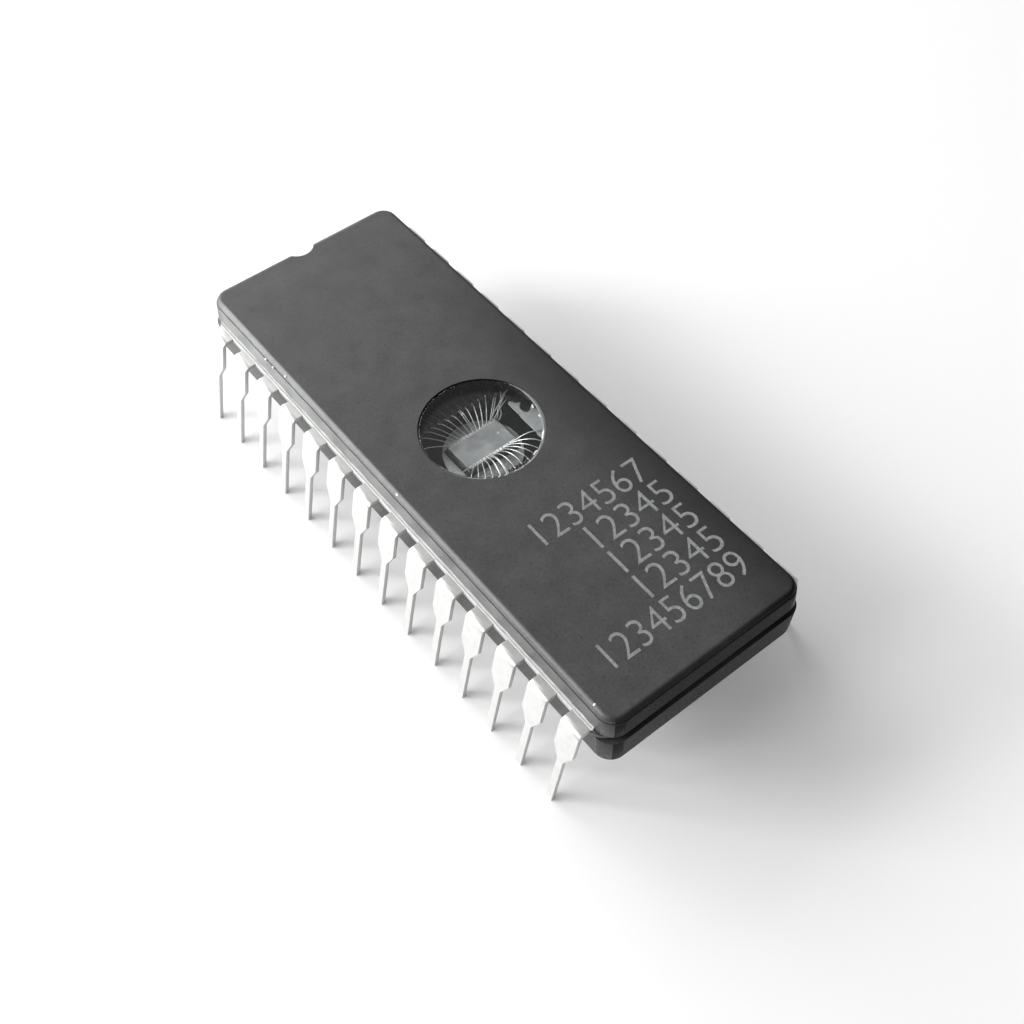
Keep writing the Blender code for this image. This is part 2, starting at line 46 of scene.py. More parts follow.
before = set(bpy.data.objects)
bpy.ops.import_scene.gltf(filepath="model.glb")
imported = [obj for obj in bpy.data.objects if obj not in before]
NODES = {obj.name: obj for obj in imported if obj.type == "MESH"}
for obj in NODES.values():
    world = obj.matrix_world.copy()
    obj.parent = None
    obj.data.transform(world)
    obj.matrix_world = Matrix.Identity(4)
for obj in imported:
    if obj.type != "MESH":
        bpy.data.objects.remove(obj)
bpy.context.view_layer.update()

MM = 0.001
CAP_LOW, CAP_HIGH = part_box("ceramic_cap")
BASE_LOW, BASE_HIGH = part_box("ceramic_base")
GLASS_LOW, GLASS_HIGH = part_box("window_lens")
DIE_LOW, DIE_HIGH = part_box("silicon_die")
PASTE_LOW, PASTE_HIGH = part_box("die_attach")
SEAL_LOW, SEAL_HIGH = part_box("seal_glass")

LEADS_PER_ROW = 14
QUARTER = LEADS_PER_ROW // 2
PITCH = 2.54 * MM
ROW_LENGTH = (LEADS_PER_ROW - 1) * PITCH
LEAD_TOP = SEAL_LOW.z + 0.33 * MM

# How near a vertex or an edge has to be to a height or a side to be picked
NEAR = MM / 200
TOUCHING = MM / 1000

# Facets of the rounds, and corners of the two pockets
CORNER_STEPS = 10
POCKET_STEPS = 8
WINDOW_STEPS = 112
HOLLOW_CORNER = 1.6 * MM
WELL_CORNER = 0.8 * MM
WELL_DEEPER = 0.02 * MM
WELL_MARGIN = 0.1 * MM
WINDOW_EDGE = 0.12 * MM

# Gloss of the ceramics, and which of their faces are the duller ends and +X side: those in the
# band along +X or past the start that lean outwards, from halfway round the -X corners on
CAP_GLOSS = 0.5
WALL_GLOSS = 0.04
WELL_GLOSS = 0.15
BASE_GLOSS = 0.35
WALL_BAND = 0.5 * MM
WALL_START = 16.5 * MM
WALL_LEAN = 0.35
CORNER_SHARE = 1.2

# Lamps: azimuth and elevation in degrees, size in metres and power in watts. The last pair is
# the direction in which the room is brightest.
FLOOR_SIZE = 0.3
LAMP_DISTANCE = 0.43
LAMPS = {"window_light": (142.0, 21.0, 0.16, 1.4), "high_light": (165.0, 36.0, 0.16, 0.5),
         "far_light": (120.0, 25.0, 0.3, 0.84), "back_light": (84.0, 25.0, 0.3, 0.8)}
BRIGHT_SIDE = (88.0, 36.0)

# Plan of the lead frame's fingers: where the tips stand round the well and the lanes they run in
TIP_FIRST = 0.24 * MM
TIP_CORNER_IN = 0.48 * MM
TIP_GAP = 0.18 * MM
TIP_BACK = 0.05 * MM
TIP_RUN = 0.5 * MM
FAN_RUN = 0.95 * MM
LANE_FIRST = 0.42 * MM
LANE_PITCH = 0.62 * MM
LANE_WIDTH = 0.34 * MM
CORNER_CUT = 0.8 * MM
ROOT_WIDTH = 0.6 * MM
ROOT_FLARE = 0.9 * MM
ROOT_IN = 0.35 * MM
CORNER_TIP_BACK = 0.12 * MM
SIDE_TIP_IN = 0.08 * MM
SIDE_TIP_BACK = 0.8 * MM
SIDE_TIP_RUN = 0.55 * MM

# Glass squeezed out along both sides, painted pale as lit: its ends, how far it reaches past the
# ceramics, its cuts
FLASH_END = ROW_LENGTH / 2 + 0.78 * MM
FLASH_BAND = 0.1 * MM
FLASH_IN = 0.12 * MM
FLASH_OUT = 0.05 * MM
FLASH_DOWN = 0.13 * MM
FLASH_UP = 0.17 * MM
FLASH_CUTS = 110
FLASH_EDGE = 0.04 * MM
FLASH_ROUGH = 0.025 * MM

# Crescent of glass at the window's rim: a thin flat ring that stands off the middle
CRESCENT_OUT = 0.43 * MM
CRESCENT_ROUND = 0.13 * MM
CRESCENT_PLACE = (-0.46 * MM, 0.27 * MM, GLASS_HIGH.z - 0.03 * MM)

# Outline of the pale glass that flowed beside the well, seen from above, in millimetres, and
# the fine grid that it is cut from. Its paleness is partly painted light, where the lamps light the
# well
FLOW_PLACE = (3.45 * MM, -0.4 * MM, SEAL_HIGH.z - 0.01 * MM)
FLOW_SPAN = (1.72 * MM, 3.84 * MM, 1.0)
FLOW_THICKNESS = 0.12 * MM
FLOW_EDGE = 0.02 * MM
FLOW_OUTLINE = ((2.76, 1.3), (2.9, 1.34), (3.03, 1.2), (3.09, 1.05), (3.22, 0.97), (3.41, 0.9),
                (3.24, 0.7), (3.12, 0.6), (3.08, 0.4), (3.11, 0.2), (3.25, 0.05), (3.46, 0.1),
                (3.58, 0.25), (3.74, 0.35), (4.28, 0.5), (4.28, -2.2), (2.64, -2.2),
                (2.7, -1.4), (2.73, -0.5))

# White lumps in the window, on the die and on the -X rim of the cap: place in millimetres,
# stretch and turn. The first five are painted glints; the rest are crumbs of glass on the rim
BEAD_RADIUS = 0.11 * MM
GLINTS_AND_CRUMBS = ((3.72, 0.14, 6.5, 1.5, 60.0), (3.62, -0.72, 6.5, 1.7, -65.0),
               (2.34, -2.47, 7.84, 3.4, 45.0), (1.8, -2.5, 6.42, 1.5, 20.0),
               (1.29, 0.24, 5.87, 0.6, 0.0), (-6.47, 12.1, 7.56, 0.9, 80.0),
               (-6.47, 11.3, 7.56, 0.8, 80.0), (-6.36, 10.1, 7.75, 1.0, 70.0),
               (-6.3, -0.8, 7.81, 1.1, 85.0), (-6.2, -16.85, 7.845, 0.9, 0.0))

# Strands of glass drawn from the die's corner to the window's rim, in millimetres
STRAND_THICKNESS = 0.09 * MM
GLASS_STRANDS = (
    ((1.86, 0.92, 5.95), (2.15, 1.06, 6.0), (2.26, 1.24, 6.1), (2.33, 1.46, 6.2),
     (2.53, 1.61, 6.3), (2.76, 1.88, 6.38), (2.98, 2.18, 6.43)),
    ((1.84, 1.08, 5.95), (2.07, 1.26, 6.05), (2.17, 1.45, 6.15), (2.34, 1.54, 6.25),
     (2.67, 1.65, 6.34), (2.97, 1.93, 6.4), (3.24, 2.02, 6.44), (3.6, 2.07, 6.5)),
    ((1.45, 1.19, 5.92), (1.86, 1.43, 6.05), (2.12, 1.53, 6.18), (2.43, 1.62, 6.28),
     (2.6, 1.75, 6.33), (2.79, 1.81, 6.37)))

# Pads on the die and bonds on the fingers
PAD_FIRST = 0.11 * MM
PAD_FROM_END = 0.195 * MM
PAD_FROM_EDGE = 0.13 * MM
PAD_SPAN = (0.16 * MM, 0.18 * MM, 0.01 * MM)
DIE_CENTRE = (DIE_LOW + DIE_HIGH) / 2
DIE_HALF = (DIE_HIGH - DIE_LOW) / 2
PAD_PITCH = (DIE_HALF.x - PAD_FROM_END - PAD_FIRST) / (QUARTER - 1)
BOND_SETBACK = 0.1 * MM
BOND_ASIDE = 0.09 * MM
DOUBLE_BONDED = (14, 23, 28)
EXTRA_PAD_RANKS = (0, 3, 5)
STOUT_WIRES = (13, 14)
STOUTER = 1.5
FLAT_LOOP = 0.3

# Shares of a wire's diameter that its pressed wedge is high, wide and rounded, and the shares
# that its upper face is drawn in to
WEDGE_HIGH = 0.7
WEDGE_WIDE = 1.7
WEDGE_ROUND = 0.15
WEDGE_TOP = (0.75, 0.6, 1.0)

# Rim and slope round the paste's face and how far it sinks, then the same for the die, whose
# plain border is its sawing street, and for the pads
PASTE_RIM = 0.05 * MM
PASTE_SLOPE = 0.12 * MM
PASTE_SINK = 0.015 * MM
PASTE_ROUGH = 0.02 * MM
DIE_EDGE = 0.01 * MM
DIE_STREET = 0.03 * MM
DIE_SLOPE = 0.01 * MM
DIE_SINK = 0.004 * MM
PAD_LIP = 0.008 * MM
PAD_SINK = 0.002 * MM

# Foot of the paste, painted dark as the die's shadow: how far it stands out from the die, down and
# up, and its corners
FOOT_OUT = Vector((0.16, 0.16, 0.0)) * MM
FOOT_DOWN = Vector((0.0, 0.0, 0.02)) * MM
FOOT_HEIGHT = 0.16 * MM
FOOT_CORNER = 0.14 * MM

# Rows of counting numbers: the digits, and the left end and foot in millimetres
MARKING = (("1234567", -2.7, -8.35), ("12345", -0.6, -10.27), ("12345", -0.6, -12.2),
           ("12345", -0.6, -14.12), ("123456789", -4.6, -16.05))
MARKING_RIGHT = 4.6
DIGIT_SIZE = 2.4 * MM
INK_THINNER = 0.025 * MM
INK_THICKNESS = 0.002 * MM


def linear(text):
    """Turn an sRGB hex colour into linear red, green and blue."""
    levels = [int(text[place:place + 2], 16) / 255 for place in (1, 3, 5)]
    return tuple(v / 12.92 if v <= 0.04045 else ((v + 0.055) / 1.055) ** 2.4 for v in levels)


def length(name, text, default):
    """Distance property with its name, description and default."""
    return FloatProperty(name=name, description=text, default=default, min=0.0, precision=6,
                         subtype="DISTANCE", unit="LENGTH")


def colour(name, text, default):
    """Colour property whose default is an sRGB hex value."""
    return FloatVectorProperty(name=name, description=text, default=linear(default), size=3,
                               min=0.0, max=1.0, subtype="COLOR")


class ChipBodySizes(bpy.types.PropertyGroup):
    """Sizes of the two pressed ceramics."""

    corner: length("Corner", "Radius of the upright corners", 1.0 * MM)
    cap_rim: length("Cap rim", "Radius of the cap's upper rim", 0.33 * MM)
    cap_land: length("Cap land", "Width of the flat land below the cap's rim", 0.06 * MM)
    cap_rise: length("Cap rise", "Height of the rim above the land", 0.36 * MM)
    base_rim: length("Base rim", "Radius of the base's lower rim", 0.25 * MM)
    draft: length("Draft", "How far the walls draw in over their height", 0.07 * MM)
    notch: length("Notch", "Radius of the half-round notch", 0.95 * MM)
    notch_out: length("Notch out", "How far the notch's centre is outside the end", 0.1 * MM)
    edge: length("Edge", "Width of the softened edges", 0.035 * MM)
    window: length("Window", "Diameter of the window hole", 7.15 * MM)
    hollow_long: length("Hollow length", "Length of the cap's hollow", 8.71 * MM)
    hollow_wide: length("Hollow width", "Width of the cap's hollow", 8.31 * MM)
    well_long: length("Well length", "Length of the well for the die", 6.2 * MM)
    well_wide: length("Well width", "Width of the well for the die", 4.8 * MM)


class ChipLeadSizes(bpy.types.PropertyGroup):
    """Sizes of the stamped and bent leads."""

    thickness: length("Thickness", "Sheet thickness", 0.25 * MM)
    shoulder: length("Shoulder", "Width of the shoulder", 1.42 * MM)
    pin: length("Pin", "Width of the pin", 0.46 * MM)
    reach: length("Reach", "From the base's side to the start of the bend", 0.42 * MM)
    bend: length("Bend", "Outer radius of the bend", 0.45 * MM)
    pin_length: length("Pin length", "Height of the straight pin", 3.55 * MM)
    taper: length("Taper", "Height of the taper between shoulder and pin", 0.9 * MM)
    splay: FloatProperty(name="Splay", description="How far the legs lean outwards",
                         default=radians(11.2), subtype="ANGLE", unit="ROTATION")
    edge: length("Edge", "Width of the rolled edges", 0.03 * MM)


class ChipWireSizes(bpy.types.PropertyGroup):
    """Sizes of the bond wires."""

    diameter: length("Diameter", "Thickness of the wire", 0.055 * MM)
    loop: length("Loop", "Height of the loop over the finger", 0.15 * MM)
    foot: length("Foot", "Length of the flattened bond", 0.17 * MM)


class ChipColours(bpy.types.PropertyGroup):
    """Colours of the finishes."""

    ceramic: colour("Ceramic", "Pressed ceramic", "#434443")
    # Painted light: pale colour for the cap's -X rim and wall, which the lamps light
    lit_side: colour("Painted light on ceramic", "Ceramic worn pale at the side", "#929392")
    tin: colour("Tin", "Tin over the lead alloy", "#E9E9E7")
    # Painted shade: near black for the fingers, the well and the window's edge, which lie in shade
    # under the cap
    finger: colour("Finger", "Shaded alloy inside", "#131414")
    frit: colour("Seal glass", "Fired seal glass", "#28292A")
    pale_frit: colour("Pale glass", "Glass where it flowed, partly painted pale", "#9A9C9C")
    rim_glass: colour("Rim glass", "Meniscus round the window", "#6E7070")
    # Painted light: pale colour for the seal glass at the sides
    flash: colour("Flash", "Glass squeezed out at the sides, painted pale", "#B6B7B6")
    silicon: colour("Silicon", "Face of the die", "#ABADAD")
    paste: colour("Paste", "Attach paste under the die", "#C4C6C5")
    wire: colour("Wire", "Aluminium bond wire", "#F0F0F0")
    pad: colour("Pad", "Rough aluminium of the bond pads", "#F4F4F4")
    # Painted shadow: dark foot of paste round the die
    painted_foot_shadow: colour("Shadow foot", "Dark foot of the paste round the die", "#303131")
    ink: colour("Ink", "Stamped marking ink", "#929493")


class ChipStage(bpy.types.PropertyGroup):
    """Floor, lamps and camera."""

    floor: colour("Floor", "White card that the chip stands on", "#FAFAFA")
    camera: FloatVectorProperty(name="Camera", description="Place of the camera",
                                default=(-27.14 * MM, -37.98 * MM, 64.16 * MM),
                                subtype="TRANSLATION", unit="LENGTH", precision=6)
    turn: FloatVectorProperty(name="Turn", description="Turn of the camera",
                              default=(radians(35.988), radians(0.606), radians(-38.296)),
                              subtype="EULER", unit="ROTATION")
    focal: FloatProperty(name="Focal length", description="Focal length on a 36 mm sensor",
                         default=46.57)


GROUPS = {
    "chip_body": ChipBodySizes,
    "chip_leads": ChipLeadSizes,
    "chip_wires": ChipWireSizes,
    "chip_colours": ChipColours,
    "chip_stage": ChipStage,
}


# Modelling


def select_only(piece):
    """Select one piece and make it the active one."""
    bpy.ops.object.select_all(action="DESELECT")
    bpy.context.view_layer.objects.active = piece
    piece.select_set(True)


def edit(piece):
    """Open a piece in edit mode with nothing selected."""
    select_only(piece)
    bpy.ops.object.mode_set(mode="EDIT")
    bpy.ops.mesh.select_all(action="DESELECT")


def leave_edit():
    """Go back to object mode."""
    bpy.ops.object.mode_set(mode="OBJECT")


def middle(item):
    """Centre of an edge or a face."""
    return sum((vert.co for vert in item.verts), Vector()) / len(item.verts)


def pick(piece, kind, test):
    """Select just the vertices, edges or faces that pass a test."""
    bpy.context.tool_settings.mesh_select_mode = [kind == name for name in ("VERT", "EDGE", "FACE")]
    bpy.ops.mesh.select_all(action="DESELECT")
    mesh = bmesh.from_edit_mesh(piece.data)
    for item in {"VERT": mesh.verts, "EDGE": mesh.edges, "FACE": mesh.faces}[kind]:
        if test(item):
            item.select_set(True)
    mesh.select_flush_mode()
    bmesh.update_edit_mesh(piece.data)


def pick_all():
    """Select the whole of the piece that is open."""
    bpy.ops.mesh.select_all(action="SELECT")


def added(name):
    """Name the primitive that was just added and lay its place into its mesh."""
    piece = bpy.context.object
    piece.name = piece.data.name = name
    select_only(piece)
    bpy.ops.object.transform_apply(location=True, rotation=True, scale=True)
    return piece


def apply_modifier(piece, kind, **settings):
    """Add a modifier with its settings and apply it."""
    select_only(piece)
    modifier = piece.modifiers.new(kind.title(), kind)
    for key, value in settings.items():
        setattr(modifier, key, value)
    bpy.ops.object.modifier_apply(modifier=modifier.name)


def cut(piece, cutter, operation="DIFFERENCE"):
    """Cut a piece with another, which is used up."""
    apply_modifier(piece, "BOOLEAN", operation=operation, solver="EXACT", object=cutter)
    bpy.data.objects.remove(cutter, do_unlink=True)


def soften(piece, width, **more):
    """Round off the sharp edges of a piece."""
    apply_modifier(piece, "BEVEL", width=width, segments=2, limit_method="ANGLE",
                   angle_limit=radians(40), **more)


def finish_surface(piece, angle=35.0):
    """Shade the rounds smooth and keep flats flat."""
    select_only(piece)
    bpy.ops.object.shade_smooth_by_angle(angle=radians(angle))
    apply_modifier(piece, "WEIGHTED_NORMAL", keep_sharp=True, weight=50)


def ride(piece, slot, *nodes):
    """Fix a piece to the chip and hide the nodes that it stands for. The slot is not used."""
    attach(piece, "root")
    if nodes:
        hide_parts(*nodes)


def coat(piece, material):
    """Give a piece one material."""
    piece.data.materials.clear()
    piece.data.materials.append(material)


def coat_part(piece, material, test):
    """Give the faces that pass a test a further material of their own."""
    piece.data.materials.append(material)
    for face in piece.data.polygons:
        if test(face):
            face.material_index = len(piece.data.materials) - 1


def rounded_block(name, low, high, corner, steps):
    """Cube primitive at its size and place, with its upright corners rounded."""
    bpy.ops.mesh.primitive_cube_add(size=1.0, location=(low + high) / 2, scale=high - low)
    block = added(name)
    edit(block)
    pick(block, "EDGE", lambda edge: abs(edge.verts[0].co.z - edge.verts[1].co.z) > NEAR)
    bpy.ops.mesh.bevel(offset=corner, segments=steps, affect="EDGES")
    leave_edit()
    return block


def notch_cutter(radius, low, high):
    """Round bar that cuts the notch into the +Y end."""
    centre = BASE_HIGH.y + bpy.context.scene.chip_body.notch_out
    bpy.ops.mesh.primitive_cylinder_add(vertices=64, radius=radius, depth=high - low,
                                        location=(0.0, centre, (low + high) / 2))
    return added("notch_bar")


def at_height(height):
    """Test for edges that lie at one height."""
    return lambda edge: all(abs(vert.co.z - height) < NEAR for vert in edge.verts)


def looks_up(face):
    """Test for faces that look up."""
    return face.normal.z > 0.9


def join(first, second):
    """Join two pieces into the first."""
    if first is None:
        return second
    select_only(first)
    second.select_set(True)
    bpy.ops.object.join()
    return first


def drawn_curve(name, places, thickness):
    """Round strand along a smooth curve through its control places."""
    bpy.ops.curve.primitive_nurbs_path_add()
    curve = bpy.context.object
    spline = curve.data.splines[0]
    spline.points.add(max(len(places) - len(spline.points), 0))
    for point, place in zip(spline.points, places):
        point.co = (*place, 1.0)
    spline.order_u = 3
    spline.use_endpoint_u = True
    spline.resolution_u = 4
    curve.data.bevel_depth = thickness / 2
    curve.data.bevel_resolution = 2
    curve.data.use_fill_caps = True
    select_only(curve)
    bpy.ops.object.convert(target="MESH")
    return added(name)


def inside(place, outline):
    """Whether a place lies inside an outline, seen from above."""
    crossings = 0
    for (x1, y1), (x2, y2) in zip(outline, outline[1:] + outline[:1]):
        if (y1 > place.y) != (y2 > place.y):
            crossings += place.x < x1 + (place.y - y1) * (x2 - x1) / (y2 - y1)
    return crossings % 2 == 1


def toward(azimuth, elevation):
    """Direction from its azimuth and elevation in degrees, counted from +X and from level."""
    azimuth, elevation = radians(azimuth), radians(elevation)
    return Vector((cos(azimuth) * cos(elevation), sin(azimuth) * cos(elevation), sin(elevation)))


# Materials


def plug(target, inputs):
    """Set a node's inputs by name or number, or link them to a socket or a node's live output."""
    for key, value in inputs.items():
        if isinstance(value, bpy.types.Node):
            value = next(socket for socket in value.outputs if socket.enabled)
        if isinstance(value, bpy.types.NodeSocket):
            target.id_data.links.new(value, target.inputs[key])
        else:
            target.inputs[key].default_value = value


def node(tree, kind, inputs=None, **settings):
    """Add a node with its settings, and set or link its inputs."""
    made = tree.nodes.new(kind)
    for key, value in settings.items():
        setattr(made, key, value)
    plug(made, inputs or {})
    return made


def new_material(name, **sockets):
    """Material with a Principled shader whose plain values are set on its own sockets."""
    material = bpy.data.materials.new(name)
    material.use_nodes = True
    tree = material.node_tree
    shader = tree.nodes["Principled BSDF"]
    plug(shader, {key.replace("_", " "): value for key, value in sockets.items()})
    place = node(tree, "ShaderNodeTexCoord").outputs["Object"]
    return material, tree, shader, place


def shade(rgb, factor):
    """Colour with an alpha of one, made lighter or darker."""
    return (*(min(channel * factor, 1.0) for channel in rgb), 1.0)


def ceramic_material(name, rgb, gloss, lit_side=None):
    """Black alumina ceramic, dry pressed and fired.

    Matte, with a fine powder grain, small dark pores and faint cloudy patches where the press
    packed it unevenly. It is painted darker along +X, most over the near half: painted shade.
    The walls, which slid along the press tool, came out smoother than the top, and are painted
    darker than it: painted shade.
    With a lit-side colour, the -X rim and wall are painted pale, most at the notched end: painted
    light from the lamps on the -X side. The real grain of about 0.03 mm is drawn at 0.13 mm, or it
    would not show.
    """
    material, tree, shader, place = new_material(name, Roughness=0.46, IOR=1.52,
                                                 Specular_IOR_Level=gloss)
    grain = node(tree, "ShaderNodeTexNoise", {"Vector": place, "Scale": 1 / (0.13 * MM),
                                              "Detail": 3.0, "Roughness": 0.6})
    cloud = node(tree, "ShaderNodeTexNoise", {"Vector": place, "Scale": 1 / (1.6 * MM),
                                              "Detail": 4.0, "Roughness": 0.55})
    both = node(tree, "ShaderNodeMath", {0: grain, 1: cloud}, operation="ADD")
    tone = node(tree, "ShaderNodeMapRange", {"Value": both, "From Min": 0.7, "From Max": 1.3})
    pore = node(tree, "ShaderNodeTexVoronoi", {"Vector": place, "Scale": 1 / (0.42 * MM)})
    speck = node(tree, "ShaderNodeMapRange", {"Value": pore, "From Min": 0.1, "From Max": 0.2,
                                              "To Min": 0.72})
    mix = node(tree, "ShaderNodeMix", {"Factor": tone, 6: shade(rgb, 0.75),
                                       7: shade(rgb, 1.3)}, data_type="RGBA")
    facing = node(tree, "ShaderNodeNewGeometry").outputs["Normal"]
    upward = node(tree, "ShaderNodeSeparateXYZ", {0: facing}).outputs["Z"]
    top = node(tree, "ShaderNodeMapRange", {"Value": upward, "From Min": 0.2, "From Max": 0.98})
    # Painted shade: faces that lean away from up drop to 0.3 of the top's colour
    wall = node(tree, "ShaderNodeMapRange", {"Value": top, "To Min": 0.3})
    level = node(tree, "ShaderNodeMath", {0: wall, 1: speck}, operation="MULTIPLY")

    # Painted shade along +X, most over the near half: from 1 where there is none to 0.22 at the +X
    # edge
    where = node(tree, "ShaderNodeSeparateXYZ", {0: place}).outputs
    shade_reach = node(tree, "ShaderNodeMapRange", {"Value": where["X"], "From Min": 2.2 * MM,
                                              "From Max": 6.2 * MM})
    ahead = node(tree, "ShaderNodeMapRange", {"Value": where["Y"], "From Min": 14.0 * MM,
                                              "From Max": 1.0 * MM, "To Min": 0.1})
    shade_reach = node(tree, "ShaderNodeMath", {0: shade_reach, 1: ahead}, operation="MULTIPLY")
    painted_side_shade = node(tree, "ShaderNodeMath", {0: shade_reach, 1: -0.78, 2: 1.0}, operation="MULTIPLY_ADD")
    level = node(tree, "ShaderNodeMath", {0: level, 1: painted_side_shade}, operation="MULTIPLY")
    # Colour with its pores and the painted shade above
    painted = node(tree, "ShaderNodeVectorMath", {0: mix, "Scale": level}, operation="SCALE")

    rough = node(tree, "ShaderNodeMapRange", {"Value": grain, "To Min": -0.07, "To Max": 0.07})
    rough = node(tree, "ShaderNodeMath", {0: top, 1: 0.21, 2: rough}, operation="MULTIPLY_ADD")
    rough = node(tree, "ShaderNodeMath", {0: rough, 1: 0.26}, operation="ADD")
    # Painted light: the -X rim and wall are painted pale, brightest towards the notched end
    if lit_side:
        side = node(tree, "ShaderNodeMapRange", {"Value": where["X"],
                                                 "From Min": 0.47 * MM - CAP_HIGH.x,
                                                 "From Max": 0.40 * MM - CAP_HIGH.x})
        tilted = node(tree, "ShaderNodeMapRange", {"Value": upward, "From Min": 0.99,
                                                   "From Max": 0.9})
        along = node(tree, "ShaderNodeMapRange", {"Value": where["Y"], "From Min": -14.0 * MM,
                                                  "From Max": 15.0 * MM, "To Min": 0.32})
        patchy = node(tree, "ShaderNodeMapRange", {"Value": both, "From Min": 0.7,
                                                   "From Max": 1.3, "To Min": 0.68,
                                                   "To Max": 1.2})
        from_middle = node(tree, "ShaderNodeMath", {0: where["Y"]}, operation="ABSOLUTE")
        ending = node(tree, "ShaderNodeMapRange", {"Value": from_middle,
                                                   "From Min": 18.25 * MM,
                                                   "From Max": 16.9 * MM})
        for factor in (tilted, along, patchy, ending):
            side = node(tree, "ShaderNodeMath", {0: side, 1: factor}, operation="MULTIPLY")
        painted = node(tree, "ShaderNodeMix", {"Factor": side, 6: painted, 7: shade(lit_side, 1.0)},
                    data_type="RGBA")
        rough = node(tree, "ShaderNodeMath", {0: side, 1: 0.25, 2: rough},
                     operation="MULTIPLY_ADD")
    bump = node(tree, "ShaderNodeBump", {"Height": grain, "Strength": 0.5,
                                         "Distance": 0.006 * MM})
    plug(shader, {"Base Color": painted, "Roughness": rough, "Normal": bump})
    return material


def tin_material(name, rgb):
    """Iron-nickel alloy dipped in tin.

    Dull bright tin with soft swirls where the bath ran off, and duller sheared edges, which the
    punch left rougher. The thin oxide skin scatters a third of the light.
    """
    material, tree, shader, place = new_material(name, Metallic=0.65, Roughness=0.34)
    swirl = node(tree, "ShaderNodeTexNoise", {"Vector": place, "Scale": 1 / (0.5 * MM),
                                              "Detail": 3.0, "Distortion": 0.8})
    fine = node(tree, "ShaderNodeTexNoise", {"Vector": place, "Scale": 1 / (0.08 * MM),
                                             "Detail": 2.0})
    facing = node(tree, "ShaderNodeNewGeometry").outputs["True Normal"]
    along = node(tree, "ShaderNodeSeparateXYZ", {0: facing}).outputs["Y"]
    side = node(tree, "ShaderNodeMath", {0: along}, operation="ABSOLUTE")
    sheared = node(tree, "ShaderNodeMapRange", {"Value": side, "From Min": 0.6,
                                                "From Max": 0.9})
    bright = node(tree, "ShaderNodeMix", {"Factor": swirl, 6: shade(rgb, 0.8),
                                          7: shade(rgb, 1.02)}, data_type="RGBA")
    mix = node(tree, "ShaderNodeMix", {"Factor": sheared, 6: bright, 7: shade(rgb, 0.8)},
               data_type="RGBA")
    satin = node(tree, "ShaderNodeMapRange", {"Value": swirl, "To Min": 0.26, "To Max": 0.42})
    rough = node(tree, "ShaderNodeMath", {0: sheared, 1: 0.2, 2: satin},
                 operation="MULTIPLY_ADD")
    both = node(tree, "ShaderNodeMath", {0: fine, 1: swirl}, operation="ADD")
    bump = node(tree, "ShaderNodeBump", {"Height": both, "Strength": 0.35,
                                         "Distance": 0.012 * MM})
    plug(shader, {"Base Color": mix, "Roughness": rough, "Normal": bump})
    return material


def finger_material(name, rgb):
    """Iron-nickel alloy inside the chip, painted nearly black: painted shade for the dark under the
    cap.

    Satin, with fine rolling lines along the sheet.
    """
    material, tree, shader, place = new_material(name, Metallic=0.3, Roughness=0.5)
    stretch = node(tree, "ShaderNodeMapping", {"Vector": place, "Scale": (1.0, 0.12, 1.0)})
    lines = node(tree, "ShaderNodeTexNoise", {"Vector": stretch, "Scale": 1 / (0.04 * MM),
                                              "Detail": 2.0})
    mix = node(tree, "ShaderNodeMix", {"Factor": lines, 6: shade(rgb, 0.8),
                                       7: shade(rgb, 1.15)}, data_type="RGBA")
    rough = node(tree, "ShaderNodeMapRange", {"Value": lines, "To Min": 0.38, "To Max": 0.52})
    plug(shader, {"Base Color": mix, "Roughness": rough})
    return material


def frit_material(name, rgb):
    """Lead-borate seal glass, fired between the ceramics.

    Vitreous and slightly glossy, with small bubbles and a wavy skin.
    """
    material, tree, shader, place = new_material(name, Roughness=0.3, IOR=1.7)
    wave = node(tree, "ShaderNodeTexNoise", {"Vector": place, "Scale": 1 / (0.35 * MM),
                                             "Detail": 3.0})
    bubble = node(tree, "ShaderNodeTexVoronoi", {"Vector": place, "Scale": 1 / (0.3 * MM)})
    pit = node(tree, "ShaderNodeMapRange", {"Value": bubble, "From Min": 0.08,
                                            "From Max": 0.2})
    mix = node(tree, "ShaderNodeMix", {"Factor": wave, 6: shade(rgb, 0.7),
                                       7: shade(rgb, 1.35)}, data_type="RGBA")
    height = node(tree, "ShaderNodeMath", {0: wave, 1: pit}, operation="ADD")
    bump = node(tree, "ShaderNodeBump", {"Height": height, "Strength": 0.6,
                                         "Distance": 0.02 * MM})
    plug(shader, {"Base Color": mix, "Normal": bump})
    return material


def flash_material(name, rgb):
    """Seal glass squeezed out between the leads, rough skinned and painted pale: painted light.

    Pale, lumpy and satin. The bond pads, and the painted glints and crumbs, have the same finish.
    """
    material, tree, shader, place = new_material(name, Metallic=0.1, Roughness=0.45)
    lump = node(tree, "ShaderNodeTexNoise", {"Vector": place, "Scale": 1 / (0.22 * MM),
                                             "Detail": 3.0, "Distortion": 0.5})
    mix = node(tree, "ShaderNodeMix", {"Factor": lump, 6: shade(rgb, 0.8),
                                       7: shade(rgb, 1.15)}, data_type="RGBA")
    bump = node(tree, "ShaderNodeBump", {"Height": lump, "Strength": 0.7,
                                         "Distance": 0.04 * MM})
    plug(shader, {"Base Color": mix, "Normal": bump})
    return material


